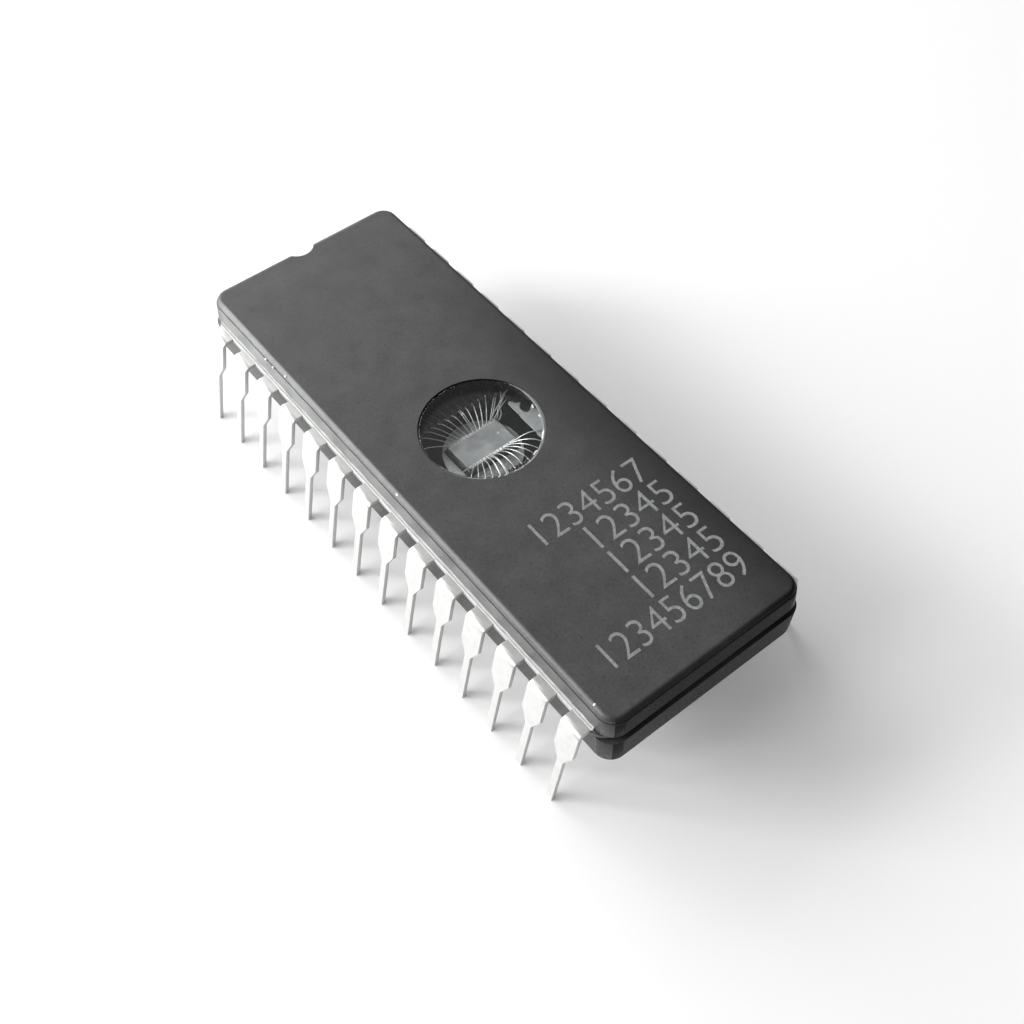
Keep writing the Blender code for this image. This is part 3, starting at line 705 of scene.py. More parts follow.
def window_material(name):
    """Ultraviolet-clear borosilicate glass, ground flat and fused into the cap.

    Clear and polished, with faint wipe marks. Rays from lamps pass straight through.
    """
    clear_white = (0.96, 0.97, 0.97, 1.0)
    material, tree, shader, place = new_material(name, Base_Color=clear_white, Roughness=0.02,
                                                 IOR=1.41, Transmission_Weight=1.0)
    wipe = node(tree, "ShaderNodeTexNoise", {"Vector": place, "Scale": 1 / (1.1 * MM),
                                             "Detail": 2.0})
    rough = node(tree, "ShaderNodeMapRange", {"Value": wipe, "From Min": 0.4, "From Max": 0.75,
                                              "To Min": 0.01, "To Max": 0.05})
    plug(shader, {"Roughness": rough})
    lamp_ray = node(tree, "ShaderNodeLightPath").outputs["Is Shadow Ray"]
    clear = node(tree, "ShaderNodeBsdfTransparent", {"Color": clear_white})
    mix = node(tree, "ShaderNodeMixShader", {0: lamp_ray, 1: shader, 2: clear})
    plug(tree.nodes["Material Output"], {"Surface": mix})
    return material


def silicon_material(name, rgb):
    """Polished silicon with its patterned face.

    The memory array shows as fine rows, coarser here than the real 0.003 mm, under a soft haze.
    """
    material, tree, shader, place = new_material(name, Metallic=0.55, Roughness=0.27, IOR=1.9)
    rows = node(tree, "ShaderNodeTexBrick", {"Vector": place, "Scale": 1 / MM,
                                             "Mortar Size": 0.008, "Brick Width": 0.35,
                                             "Row Height": 0.12,
                                             "Color1": shade(rgb, 0.92),
                                             "Color2": shade(rgb, 1.04),
                                             "Mortar": shade(rgb, 0.7)})
    haze = node(tree, "ShaderNodeTexNoise", {"Vector": place, "Scale": 1 / (1.3 * MM),
                                             "Detail": 2.0})
    cloud = node(tree, "ShaderNodeMapRange", {"Value": haze, "From Min": 0.42, "From Max": 0.6,
                                              "To Max": 0.75})
    mix = node(tree, "ShaderNodeMix", {"Factor": cloud, 6: rows, 7: shade(rgb, 1.5)},
               data_type="RGBA")
    plug(shader, {"Base Color": mix})
    return material


def paste_material(name, rgb):
    """Silver-filled glass paste, fired under the die.

    Pale grey and grainy, with flakes that catch the light, and painted paler towards -X: painted
    highlight.
    """
    material, tree, shader, place = new_material(name, Metallic=0.75, Roughness=0.36)
    flake = node(tree, "ShaderNodeTexVoronoi", {"Vector": place, "Scale": 1 / (0.09 * MM)})
    run = node(tree, "ShaderNodeTexNoise", {"Vector": place, "Scale": 1 / (0.7 * MM),
                                            "Detail": 3.0})
    tone = node(tree, "ShaderNodeMath", {0: flake.outputs["Color"], 1: run},
                operation="MULTIPLY")
    # Painted highlight: paler towards -X, where the lamp's light reflects off the paste
    outward = node(tree, "ShaderNodeVectorMath", {0: place, 1: (-0.9, -0.3, 0.0)},
                   operation="DOT_PRODUCT")
    painted_highlight = node(tree, "ShaderNodeMapRange", {"Value": outward, "From Min": 0.9 * MM,
                                              "From Max": 2.1 * MM, "To Max": 0.55})
    tone = node(tree, "ShaderNodeMath", {0: tone, 1: painted_highlight}, operation="ADD")
    mix = node(tree, "ShaderNodeMix", {"Factor": tone, 6: shade(rgb, 0.55),
                                       7: shade(rgb, 1.5)}, data_type="RGBA")
    bump = node(tree, "ShaderNodeBump", {"Height": tone, "Strength": 0.5,
                                         "Distance": 0.015 * MM})
    plug(shader, {"Base Color": mix, "Normal": bump})
    return material


def wire_material(name, rgb):
    """Drawn aluminium wire, bright and smooth, with fine draw marks."""
    material, tree, shader, place = new_material(name, Metallic=0.85, Roughness=0.3)
    marks = node(tree, "ShaderNodeTexNoise", {"Vector": place, "Scale": 1 / (0.06 * MM)})
    mix = node(tree, "ShaderNodeMix", {"Factor": marks, 6: shade(rgb, 0.85),
                                       7: shade(rgb, 1.05)}, data_type="RGBA")
    rough = node(tree, "ShaderNodeMapRange", {"Value": marks, "To Min": 0.24, "To Max": 0.38})
    plug(shader, {"Base Color": mix, "Roughness": rough})
    return material


def ink_material(name, rgb):
    """Stamped epoxy ink on the matte ceramic, thin and a little uneven."""
    material, tree, shader, place = new_material(name, Roughness=0.6)
    patch = node(tree, "ShaderNodeTexNoise", {"Vector": place, "Scale": 1 / (0.16 * MM),
                                              "Detail": 4.0})
    tone = node(tree, "ShaderNodeMapRange", {"Value": patch, "From Min": 0.35,
                                             "From Max": 0.65})
    mix = node(tree, "ShaderNodeMix", {"Factor": tone, 6: shade(rgb, 0.72),
                                       7: shade(rgb, 1.1)}, data_type="RGBA")
    plug(shader, {"Base Color": mix})
    return material


def floor_material(name, rgb):
    """Smooth white card, with a trace of extra white for the camera and for reflections."""
    material, tree, shader, place = new_material(name, Roughness=0.8)
    fibre = node(tree, "ShaderNodeTexNoise", {"Vector": place, "Scale": 1 / (2.0 * MM),
                                              "Detail": 5.0})
    mix = node(tree, "ShaderNodeMix", {"Factor": fibre, 6: shade(rgb, 0.985),
                                       7: shade(rgb, 1.0)}, data_type="RGBA")
    plug(shader, {"Base Color": mix})
    path = node(tree, "ShaderNodeLightPath").outputs
    seen = path["Is Camera Ray"]
    for kind in ("Is Glossy Ray", "Is Transmission Ray"):
        seen = node(tree, "ShaderNodeMath", {0: seen, 1: path[kind]}, operation="MAXIMUM")
    lift = node(tree, "ShaderNodeMath", {0: seen, 1: 0.12}, operation="MULTIPLY")
    glow = node(tree, "ShaderNodeEmission", {"Strength": lift})
    both = node(tree, "ShaderNodeAddShader", {0: shader, 1: glow})
    plug(tree.nodes["Material Output"], {"Surface": both})
    return material


# Pieces


def quiet_walls(piece, rgb):
    """Give both ends and the +X side, rims included, a duller slot of their own."""
    def is_wall(face):
        outside = face.center.x > CAP_HIGH.x - WALL_BAND or abs(face.center.y) > WALL_START
        lean = max(WALL_LEAN, -CORNER_SHARE * face.normal.x)
        return outside and (face.normal.x > WALL_LEAN or abs(face.normal.y) > lean)

    coat_part(piece, ceramic_material(f"{piece.name}_walls", rgb, WALL_GLOSS), is_wall)


class CHIP_OT_cap(bpy.types.Operator):
    """Model the pressed ceramic cap with its rounded rim, notch, hollow and window hole."""

    bl_idname = "chip.cap"
    bl_label = "Cap"

    def execute(self, context):
        sizes = context.scene.chip_body
        land_height = CAP_HIGH.z - sizes.cap_rise
        low, high = CAP_LOW.copy(), CAP_HIGH.copy()
        high.z = land_height
        cap = rounded_block("cap_ceramic", low, high, sizes.corner, CORNER_STEPS)
        edit(cap)
        pick(cap, "FACE", lambda face: middle(face).z > land_height - NEAR)
        drawn_in = (1 - sizes.draft / high.x, 1 - sizes.draft / high.y, 1.0)
        bpy.ops.transform.resize(value=drawn_in, center_override=(0.0, 0.0, land_height))
        bpy.ops.mesh.inset(thickness=sizes.cap_land)
        bpy.ops.mesh.extrude_region_move(TRANSFORM_OT_translate={"value": (0, 0, sizes.cap_rise)})
        pick(cap, "EDGE", at_height(CAP_HIGH.z))
        bpy.ops.mesh.bevel(offset=sizes.cap_rim, segments=8, affect="EDGES")
        leave_edit()
        cut(cap, notch_cutter(sizes.notch, CAP_LOW.z - MM, CAP_HIGH.z + MM))
        hollow_low = Vector((-sizes.hollow_long / 2, -sizes.hollow_wide / 2, CAP_LOW.z - MM))
        hollow_high = Vector((sizes.hollow_long / 2, sizes.hollow_wide / 2, GLASS_LOW.z))
        cut(cap, rounded_block("hollow", hollow_low, hollow_high, HOLLOW_CORNER, POCKET_STEPS))
        bpy.ops.mesh.primitive_cylinder_add(vertices=WINDOW_STEPS, radius=sizes.window / 2,
                                            depth=4 * MM, location=(0.0, 0.0, CAP_HIGH.z))
        cut(cap, added("window_hole"))
        soften(cap, sizes.edge)
        finish_surface(cap)
        colours = context.scene.chip_colours
        # The cap's lit -X side gets painted light
        coat(cap, ceramic_material("pressed_alumina_cap", colours.ceramic, CAP_GLOSS,
                                   colours.lit_side))
        quiet_walls(cap, colours.ceramic)
        ride(cap, "dark_ceramic", "ceramic_cap")
        return {"FINISHED"}


class CHIP_OT_base(bpy.types.Operator):
    """Model the pressed ceramic base with its lower rim, notch and well."""

    bl_idname = "chip.base"
    bl_label = "Base"

    def execute(self, context):
        sizes = context.scene.chip_body
        base = rounded_block("base_ceramic", BASE_LOW, BASE_HIGH, sizes.corner, CORNER_STEPS)
        edit(base)
        pick(base, "FACE", lambda face: middle(face).z < BASE_LOW.z + NEAR)
        drawn_in = (1 - sizes.draft / BASE_HIGH.x, 1 - sizes.draft / BASE_HIGH.y, 1.0)
        bpy.ops.transform.resize(value=drawn_in, center_override=(0.0, 0.0, BASE_LOW.z))
        pick(base, "EDGE", at_height(BASE_LOW.z))
        bpy.ops.mesh.bevel(offset=sizes.base_rim, segments=6, affect="EDGES")
        leave_edit()
        cut(base, notch_cutter(sizes.notch, BASE_LOW.z - MM, BASE_HIGH.z + MM))
        well_low = Vector((-sizes.well_long / 2, -sizes.well_wide / 2,
                           PASTE_LOW.z - WELL_DEEPER))
        well_high = Vector((sizes.well_long / 2, sizes.well_wide / 2, BASE_HIGH.z + MM))
        cut(base, rounded_block("well", well_low, well_high, WELL_CORNER, POCKET_STEPS))
        soften(base, sizes.edge)
        finish_surface(base)
        colours = context.scene.chip_colours
        coat(base, ceramic_material("pressed_alumina_base", colours.ceramic, BASE_GLOSS))
        quiet_walls(base, colours.ceramic)
        # Painted shade: the well's faces get the near-black finger colour for the shade in the well
        coat_part(base, ceramic_material("shaded_well_alumina", colours.finger, WELL_GLOSS),
                  lambda face: face.center.z > PASTE_LOW.z - WELL_MARGIN
                  and abs(face.center.x) < well_high.x + WELL_MARGIN / 2
                  and abs(face.center.y) < well_high.y + WELL_MARGIN / 2)
        ride(base, "dark_ceramic", "ceramic_base")
        return {"FINISHED"}


class CHIP_OT_window(bpy.types.Operator):
    """Model the clear window with its rounded edge."""

    bl_idname = "chip.window"
    bl_label = "Window"

    def execute(self, context):
        height = GLASS_HIGH.z - GLASS_LOW.z
        bpy.ops.mesh.primitive_cylinder_add(vertices=WINDOW_STEPS, radius=GLASS_HIGH.x,
                                            depth=height,
                                            location=(0.0, 0.0, GLASS_LOW.z + height / 2))
        glass = added("window_glass")
        edit(glass)
        pick(glass, "EDGE", at_height(GLASS_HIGH.z))
        bpy.ops.mesh.bevel(offset=WINDOW_EDGE, segments=6, affect="EDGES")
        leave_edit()
        finish_surface(glass)
        coat(glass, window_material("window_borosilicate"))
        # Painted shade: the glass's upright edge gets the near-black finger colour for the shaded
        # hole wall
        fused = ceramic_material("shaded_glass_wall", context.scene.chip_colours.finger,
                                 WELL_GLOSS)
        coat_part(glass, fused, lambda face: abs(face.normal.z) < 0.1)
        ride(glass, "clear_glass", "window_lens")
        return {"FINISHED"}


class CHIP_OT_seal(bpy.types.Operator):
    """Finish the fired seal glass, with its flash, crescent, flow, strands, painted glints and
    crumbs.
    """

    bl_idname = "chip.seal"
    bl_label = "Seal glass"

    def execute(self, context):
        frit = frit_material("fired_seal_glass", context.scene.chip_colours.frit)
        mesh = NODES["seal_glass"].data.copy()
        seal = bpy.data.objects.new("seal_glass_bead", mesh)
        context.scene.collection.objects.link(seal)
        edit(seal)
        pick_all()
        bpy.ops.mesh.remove_doubles(threshold=0.001 * MM)
        bpy.ops.mesh.dissolve_limited(angle_limit=radians(1.0))
        for end in (-FLASH_END, FLASH_END):
            pick_all()
            bpy.ops.mesh.bisect(plane_co=(0.0, end, 0.0), plane_no=(0.0, 1.0, 0.0))
        leave_edit()
        finish_surface(seal)
        coat(seal, frit)
        # Painted light: the glass at the sides is pale, while the same seal glass at the ends stays
        # dark
        flash = flash_material("pale_lit_flash", context.scene.chip_colours.flash)
        coat_part(seal, flash, lambda face: abs(face.center.x) > BASE_HIGH.x - FLASH_BAND
                  and abs(face.center.y) < FLASH_END)
        ride(seal, "seal_frit", "seal_glass")
        for side, name in ((-1, "seal_flash_1_to_14"), (1, "seal_flash_15_to_28")):
            strip = flash_strip(name, side)
            coat(strip, flash)
            ride(strip, "seal_frit")
        colours = context.scene.chip_colours
        # Partly painted light: pale glass where the lamps light the well through the window
        pale = frit_material("pale_lit_glass", colours.pale_frit)
        window_crescent(colours)
        glass_flow(pale)
        glass_strands(pale)
        glints_and_crumbs(colours)
        return {"FINISHED"}


def window_crescent(colours):
    """Crescent of glass that crept up at the window's rim."""
    bpy.ops.mesh.primitive_torus_add(major_radius=GLASS_HIGH.x + CRESCENT_OUT,
                                     minor_radius=CRESCENT_ROUND, major_segments=192,
                                     minor_segments=12, location=CRESCENT_PLACE)
    fillet = added("window_fillet")
    height = CRESCENT_PLACE[2]
    edit(fillet)
    pick_all()
    bpy.ops.transform.resize(value=(1.0, 1.0, 0.3), center_override=(0.0, 0.0, height))
    bpy.ops.transform.vertex_random(offset=0.008 * MM, seed=5)
    leave_edit()
    bpy.ops.mesh.primitive_cylinder_add(vertices=WINDOW_STEPS, radius=GLASS_HIGH.x, depth=MM,
                                        location=(0.0, 0.0, height))
    cut(fillet, added("fillet_bound"), "INTERSECT")
    finish_surface(fillet, 60.0)
    coat(fillet, frit_material("window_rim_glass", colours.rim_glass))
    ride(fillet, "clear_glass")


def glass_flow(pale):
    """Glass that flowed beside the well, cut from a fine grid along its outline, and painted pale
    where the lamps light it: partly painted light.
    """
    bpy.ops.mesh.primitive_grid_add(x_subdivisions=40, y_subdivisions=88, size=1.0,
                                    location=FLOW_PLACE)
    bpy.context.object.scale = FLOW_SPAN
    flow = added("pale_glass_flow")
    edit(flow)
    pick(flow, "FACE", lambda face: not inside(middle(face) / MM, FLOW_OUTLINE))
    bpy.ops.mesh.delete(type="FACE")
    pick(flow, "VERT", lambda vert: vert.is_boundary)
    bpy.ops.mesh.vertices_smooth(factor=0.5, repeat=3)
    leave_edit()
    apply_modifier(flow, "SOLIDIFY", thickness=FLOW_THICKNESS, offset=-1.0)
    soften(flow, FLOW_EDGE)
    finish_surface(flow)
    coat(flow, pale)
    ride(flow, "seal_frit")


def glass_strands(pale):
    """Uneven strands of glass, drawn one by one and joined, and painted pale where the lamps light
    them: partly painted light.
    """
    strands = None
    for points in GLASS_STRANDS:
        places = [Vector(point) * MM for point in points]
        strands = join(strands, drawn_curve("glass_strands", places, STRAND_THICKNESS))
    edit(strands)
    pick_all()
    bpy.ops.transform.vertex_random(offset=0.02 * MM, seed=9)
    leave_edit()
    finish_surface(strands, 80.0)
    coat(strands, pale)
    ride(strands, "seal_frit")


def glints_and_crumbs(colours):
    """White lumps, each a flattened, stretched and turned ball: painted glints in the window and on
    the die, crumbs of glass on the rim.
    """
    beads = None
    for x, y, z, across, turn in GLINTS_AND_CRUMBS:
        bpy.ops.mesh.primitive_uv_sphere_add(segments=16, ring_count=8, radius=BEAD_RADIUS)
        bead = added("glints_and_crumbs")
        edit(bead)
        pick_all()
        bpy.ops.transform.resize(value=(across, 0.7, 0.5), center_override=(0.0, 0.0, 0.0))
        bpy.ops.transform.rotate(value=-radians(turn), orient_axis="Z",
                                 center_override=(0.0, 0.0, 0.0))
        bpy.ops.transform.translate(value=(x * MM, y * MM, z * MM))
        bpy.ops.transform.vertex_random(offset=0.012 * MM, seed=3)
        leave_edit()
        beads = join(beads, bead)
    beads.name = beads.data.name = "glints_and_crumbs"
    finish_surface(beads, 80.0)
    # Painted highlight: the lumps in the window and on the die are white glints
    coat(beads, flash_material("painted_glints_and_crumbs", colours.pad))
    ride(beads, "seal_frit")


def flash_strip(name, side):
    """Rough strip of glass that was squeezed up against the cap's wall, along one side."""
    low = Vector((CAP_HIGH.x - FLASH_IN, -FLASH_END, SEAL_HIGH.z - FLASH_DOWN))
    high = Vector((CAP_HIGH.x + FLASH_OUT, FLASH_END, CAP_LOW.z + FLASH_UP))
    bpy.ops.mesh.primitive_cube_add(size=1.0, location=(low + high) / 2, scale=high - low)
    strip = added(name)
    edit(strip)
    for cut_y in range(1, FLASH_CUTS):
        place = low.y + (high.y - low.y) * cut_y / FLASH_CUTS
        pick_all()
        bpy.ops.mesh.bisect(plane_co=(0.0, place, 0.0), plane_no=(0.0, 1.0, 0.0))
    pick(strip, "EDGE", lambda edge: middle(edge).x > high.x - TOUCHING
         and at_height(high.z)(edge))
    bpy.ops.mesh.bevel(offset=FLASH_EDGE, segments=3, affect="EDGES")
    pick(strip, "VERT", lambda vert: vert.co.z > high.z - 0.05 * MM)
    bpy.ops.transform.vertex_random(offset=FLASH_ROUGH, seed=11 + side)
    pick_all()
    bpy.ops.transform.resize(value=(side, 1.0, 1.0), center_override=(0.0, 0.0, 0.0))
    bpy.ops.mesh.normals_make_consistent(inside=False)
    leave_edit()
    finish_surface(strip, 60.0)
    return strip


def lead_places():
    """Number, rank and quarter of each lead, counted round from the one beside the notch."""
    places = []
    for number in range(1, 2 * LEADS_PER_ROW + 1):
        in_first_row = number <= LEADS_PER_ROW
        place = number - 1 if in_first_row else 2 * LEADS_PER_ROW - number
        side_x = -1 if in_first_row else 1
        side_y = 1 if place < QUARTER else -1
        rank = place if place < QUARTER else LEADS_PER_ROW - 1 - place
        places.append((number, rank, side_x, side_y))
    return places


def finger_path(rank, sizes):
    """Places and widths along a finger of the +X, +Y quarter, from its tip to its root."""
    exit_y = ROW_LENGTH / 2 - rank * PITCH
    root_x = BASE_HIGH.x - ROOT_IN
    well_x, well_y = sizes.well_long / 2, sizes.well_wide / 2
    corner_x = well_x - TIP_CORNER_IN
    tip_pitch = (corner_x - TIP_FIRST) / (QUARTER - 2)
    tip_width = tip_pitch - TIP_GAP
    if rank == QUARTER - 1:
        tip_x, tip_y = well_x - SIDE_TIP_IN, well_y - SIDE_TIP_BACK
        turn_x = tip_x + SIDE_TIP_RUN
        path = [(tip_x, tip_y, tip_width), (turn_x, tip_y, LANE_WIDTH),
                (turn_x + abs(tip_y - exit_y), exit_y, LANE_WIDTH)]
    elif rank == QUARTER - 2:
        tip_y = well_y - CORNER_TIP_BACK
        path = [(corner_x, tip_y, tip_width),
                (corner_x + TIP_RUN, tip_y + TIP_RUN, LANE_WIDTH),
                (corner_x + exit_y - tip_y, exit_y, LANE_WIDTH)]
    else:
        tip_x, tip_y = TIP_FIRST + rank * tip_pitch, well_y + TIP_BACK
        lane_x = LANE_FIRST + rank * LANE_PITCH
        path = [(tip_x, tip_y, tip_width), (tip_x, tip_y + TIP_RUN, tip_width),
                (lane_x, tip_y + TIP_RUN + FAN_RUN, LANE_WIDTH),
                (lane_x, exit_y - CORNER_CUT, LANE_WIDTH),
                (lane_x + CORNER_CUT, exit_y, LANE_WIDTH)]
    return path + [(root_x - ROOT_FLARE, exit_y, ROOT_WIDTH), (root_x, exit_y, 0.0)]


def extrude_edge(place, step, turn=0.0, widen=1.0):
    """Extrude the picked edge by a step, then turn and widen it about its new place."""
    bpy.ops.mesh.extrude_region_move(TRANSFORM_OT_translate={"value": step})
    if turn:
        bpy.ops.transform.rotate(value=-turn, orient_axis="Z", center_override=place)
    if widen != 1.0:
        bpy.ops.transform.resize(value=(widen, widen, 1.0), center_override=place)


def stamped_lead(rank, context):
    """Lead of the +X, +Y quarter: shoulder, bend, leg and pin outside, and its finger inside."""
    sizes = context.scene.chip_leads
    exit_y = ROW_LENGTH / 2 - rank * PITCH
    bend_x, root_x = BASE_HIGH.x + sizes.reach, BASE_HIGH.x - ROOT_IN
    bpy.ops.mesh.primitive_plane_add(size=1.0, location=((root_x + bend_x) / 2, exit_y, LEAD_TOP))
    bpy.context.object.scale = (bend_x - root_x, sizes.shoulder, 1.0)
    lead = added("lead")
    edit(lead)
    pick(lead, "EDGE", lambda edge: middle(edge).x > bend_x - TOUCHING)
    turn = pi / 2 - sizes.splay
    bpy.ops.mesh.spin(steps=8, angle=turn, axis=(0, -1, 0),
                      center=(bend_x, exit_y, LEAD_TOP - sizes.bend))
    leg_top = LEAD_TOP - sizes.bend * (1 - cos(turn))
    place = Vector((bend_x + sizes.bend * sin(turn), exit_y, leg_top))
    for height, width in ((sizes.pin_length + sizes.taper, 1.0),
                          (sizes.pin_length, sizes.pin / sizes.shoulder),
                          (-sizes.thickness, 1.0)):
        pick(lead, "EDGE", lambda edge: at_height(place.z)(edge))
        step = Vector((tan(sizes.splay), 0.0, -1.0)) * (place.z - height)
        place += step
        extrude_edge(place, step, 0.0, width)
    along, wide = 0.0, sizes.shoulder
    stations = list(reversed(finger_path(rank, context.scene.chip_body)))
    pick(lead, "EDGE", lambda edge: middle(edge).x < root_x + TOUCHING)
    for before, here, after in zip(stations, stations[1:], stations[2:] + stations[-1:]):
        ahead = Vector(here[:2]) - Vector(before[:2])
        leaving = Vector(after[:2]) - Vector(here[:2]) if after is not here else ahead
        half = ahead.angle_signed(leaving) / 2
        heading = atan2(-ahead.y, -ahead.x) - half
        width = here[2] / cos(half)
        place = Vector((*here[:2], LEAD_TOP))
        extrude_edge(place, (*ahead, 0.0), heading - along, width / wide)
        along, wide = heading, width
    leave_edit()
    return lead


def finish_lead(lead, sizes):
    """Give a lead its sheet thickness, level tip and rolled edges."""
    edit(lead)
    pick_all()
    bpy.ops.mesh.normals_make_consistent(inside=False)
    leave_edit()
    upwards = lead.data.polygons[0].normal.z > 0
    apply_modifier(lead, "SOLIDIFY", thickness=sizes.thickness, offset=-1.0 if upwards else 1.0,
                   use_even_offset=True)
    edit(lead)
    pick_all()
    bpy.ops.mesh.bisect(plane_co=(0.0, 0.0, 0.0), plane_no=(0.0, 0.0, 1.0), use_fill=True,
                        clear_inner=True)
    pick_all()
    bpy.ops.mesh.normals_make_consistent(inside=False)
    leave_edit()
    soften(lead, sizes.edge, use_clamp_overlap=True)
    finish_surface(lead)


class CHIP_OT_leads(bpy.types.Operator):
    """Model each shape of lead once, and copy it into the four quarters, mirrored."""

    bl_idname = "chip.leads"
    bl_label = "Leads"

    def execute(self, context):
        tin = tin_material("tin_dipped_alloy", context.scene.chip_colours.tin)
        # Painted shade: the fingers inside are coloured nearly black
        fired = finger_material("shaded_alloy_finger", context.scene.chip_colours.finger)
        inner = BASE_HIGH.x - 2 * ROOT_IN
        shapes = [stamped_lead(rank, context) for rank in range(QUARTER)]
        for number, rank, side_x, side_y in lead_places():
            select_only(shapes[rank])
            bpy.ops.object.duplicate()
            lead = added(f"tinned_lead_{number:02d}")
            edit(lead)
            pick_all()
            bpy.ops.transform.resize(value=(side_x, side_y, 1.0), center_override=(0.0, 0.0, 0.0))
            leave_edit()
            finish_lead(lead, context.scene.chip_leads)
            coat(lead, tin)
            coat_part(lead, fired, lambda face: abs(face.center.x) < inner)
            ride(lead, "tinned_alloy", f"lead_{number:02d}")
        for shape in shapes:
            bpy.data.objects.remove(shape, do_unlink=True)
        return {"FINISHED"}


class CHIP_OT_die(bpy.types.Operator):
    """Model the sawn die, its bond pads and the fired paste that holds it."""

    bl_idname = "chip.die"
    bl_label = "Die"

    def execute(self, context):
        colours = context.scene.chip_colours
        paste = paste_material("silver_glass_paste", colours.paste)
        height = PASTE_HIGH.z - PASTE_LOW.z
        bpy.ops.mesh.primitive_cylinder_add(vertices=96, radius=PASTE_HIGH.x, depth=height,
                                            location=(0.0, 0.0, PASTE_LOW.z + height / 2))
        spot = added("paste_spot")
        edit(spot)
        pick(spot, "FACE", looks_up)
        bpy.ops.mesh.inset(thickness=PASTE_RIM)
        bpy.ops.mesh.inset(thickness=PASTE_SLOPE)
        bpy.ops.transform.translate(value=(0.0, 0.0, -PASTE_SINK))
        pick(spot, "VERT", lambda vert: hypot(vert.co.x, vert.co.y) > PASTE_HIGH.x - 0.1 * MM)
        bpy.ops.transform.vertex_random(offset=PASTE_ROUGH, seed=7)
        leave_edit()
        finish_surface(spot, 50.0)
        coat(spot, paste)
        ride(spot, "attach_paste", "die_attach")

        foot_high = Vector((*(DIE_HIGH + FOOT_OUT)[:2], DIE_LOW.z + FOOT_HEIGHT))
        fillet = rounded_block("paste_fillet", DIE_LOW - FOOT_OUT - FOOT_DOWN, foot_high,
                               FOOT_CORNER, 5)
        edit(fillet)
        pick(fillet, "FACE", looks_up)
        drawn_in = (DIE_HALF.x / (DIE_HALF.x + FOOT_OUT.x),
                    DIE_HALF.y / (DIE_HALF.y + FOOT_OUT.y), 1.0)
        bpy.ops.transform.resize(value=drawn_in, center_override=DIE_CENTRE)
        leave_edit()
        finish_surface(fillet, 50.0)
        # Painted shadow: the foot round the die is dark
        coat(fillet, frit_material("painted_shadow_foot", colours.painted_foot_shadow))
        ride(fillet, "attach_paste")

        bpy.ops.mesh.primitive_cube_add(size=1.0, location=DIE_CENTRE, scale=DIE_HIGH - DIE_LOW)
        die = added("sawn_die")
        edit(die)
        pick(die, "EDGE", at_height(DIE_HIGH.z))
        bpy.ops.mesh.bevel(offset=DIE_EDGE, segments=2, affect="EDGES")
        pick(die, "FACE", lambda face: face.normal.z > 0.99)
        bpy.ops.mesh.inset(thickness=DIE_STREET)
        bpy.ops.mesh.inset(thickness=DIE_SLOPE)
        bpy.ops.transform.translate(value=(0.0, 0.0, -DIE_SINK))
        leave_edit()
        finish_surface(die)
        coat(die, silicon_material("patterned_silicon", colours.silicon))
        ride(die, "silicon", "silicon_die")

        pads = None
        for _, rank, side_x, side_y in lead_places():
            for second in range(2 if rank in EXTRA_PAD_RANKS else 1):
                place = pad_place(rank, side_x, side_y, second / 2)
                bpy.ops.mesh.primitive_cube_add(size=1.0, location=place, scale=PAD_SPAN)
                pad = added("bond_pads")
                edit(pad)
                pick(pad, "FACE", looks_up)
                bpy.ops.mesh.inset(thickness=PAD_LIP)
                bpy.ops.transform.translate(value=(0.0, 0.0, -PAD_SINK))
                leave_edit()
                pads = join(pads, pad)
        pads.name = pads.data.name = "bond_pads"
        coat(pads, flash_material("pad_aluminium", colours.pad))
        ride(pads, "silicon")
        return {"FINISHED"}


def pad_place(rank, side_x, side_y, between):
    """Place of a lead's pad on the die, or between it and the next."""
    across = PAD_FIRST + (rank + between) * PAD_PITCH
    return Vector((DIE_CENTRE.x + side_x * across,
                   DIE_CENTRE.y + side_y * (DIE_HALF.y - PAD_FROM_EDGE), DIE_HIGH.z))


def wire_path(rank, side_x, side_y, second, context, vary):
    """Points along a bond wire, from its bond on the finger to its pad on the die."""
    wires = context.scene.chip_wires
    path = finger_path(rank, context.scene.chip_body)
    along = (Vector(path[1][:2]) - Vector(path[0][:2])).normalized()
    aside = Vector((along.y, -along.x)) * BOND_ASIDE * second
    bond = Vector(path[0][:2]) + along * BOND_SETBACK + aside
    bond = Vector((side_x * bond.x, side_y * bond.y))
    pad = pad_place(rank, side_x, side_y, second / 2).to_2d()
    way = pad - bond
    sway = Vector((way.y, -way.x)).normalized() * vary.uniform(-0.03, 0.03) * MM
    start = LEAD_TOP + wires.diameter / 2
    foot = DIE_HIGH.z + wires.diameter / 2
    rise = wires.loop * vary.uniform(0.9, 1.1)
    if side_y > 0:
        rise *= FLAT_LOOP
    loop = start + rise
    heights = ((-0.03, start - wires.diameter / 4, 0.0), (0.0, start, 0.0),
               (0.08, start + rise * 0.55, 0.2), (0.2, start + rise * 0.85, 0.6),
               (0.36, foot + (loop - foot) * (0.75 + rise / (0.6 * MM)), 1.0),
               (0.58, foot + (loop - foot) * (0.48 + rise / (0.45 * MM)), 1.0),
               (0.78, foot + (loop - foot) * (0.24 + rise / (0.75 * MM)), 0.5),
               (0.92, foot + (loop - foot) * 0.08, 0.1),
               (0.97, foot, 0.0), (1.0, foot - wires.diameter / 4, 0.0))
    return [Vector((*(bond + way * share + sway * bow), height)) for share, height, bow in heights]


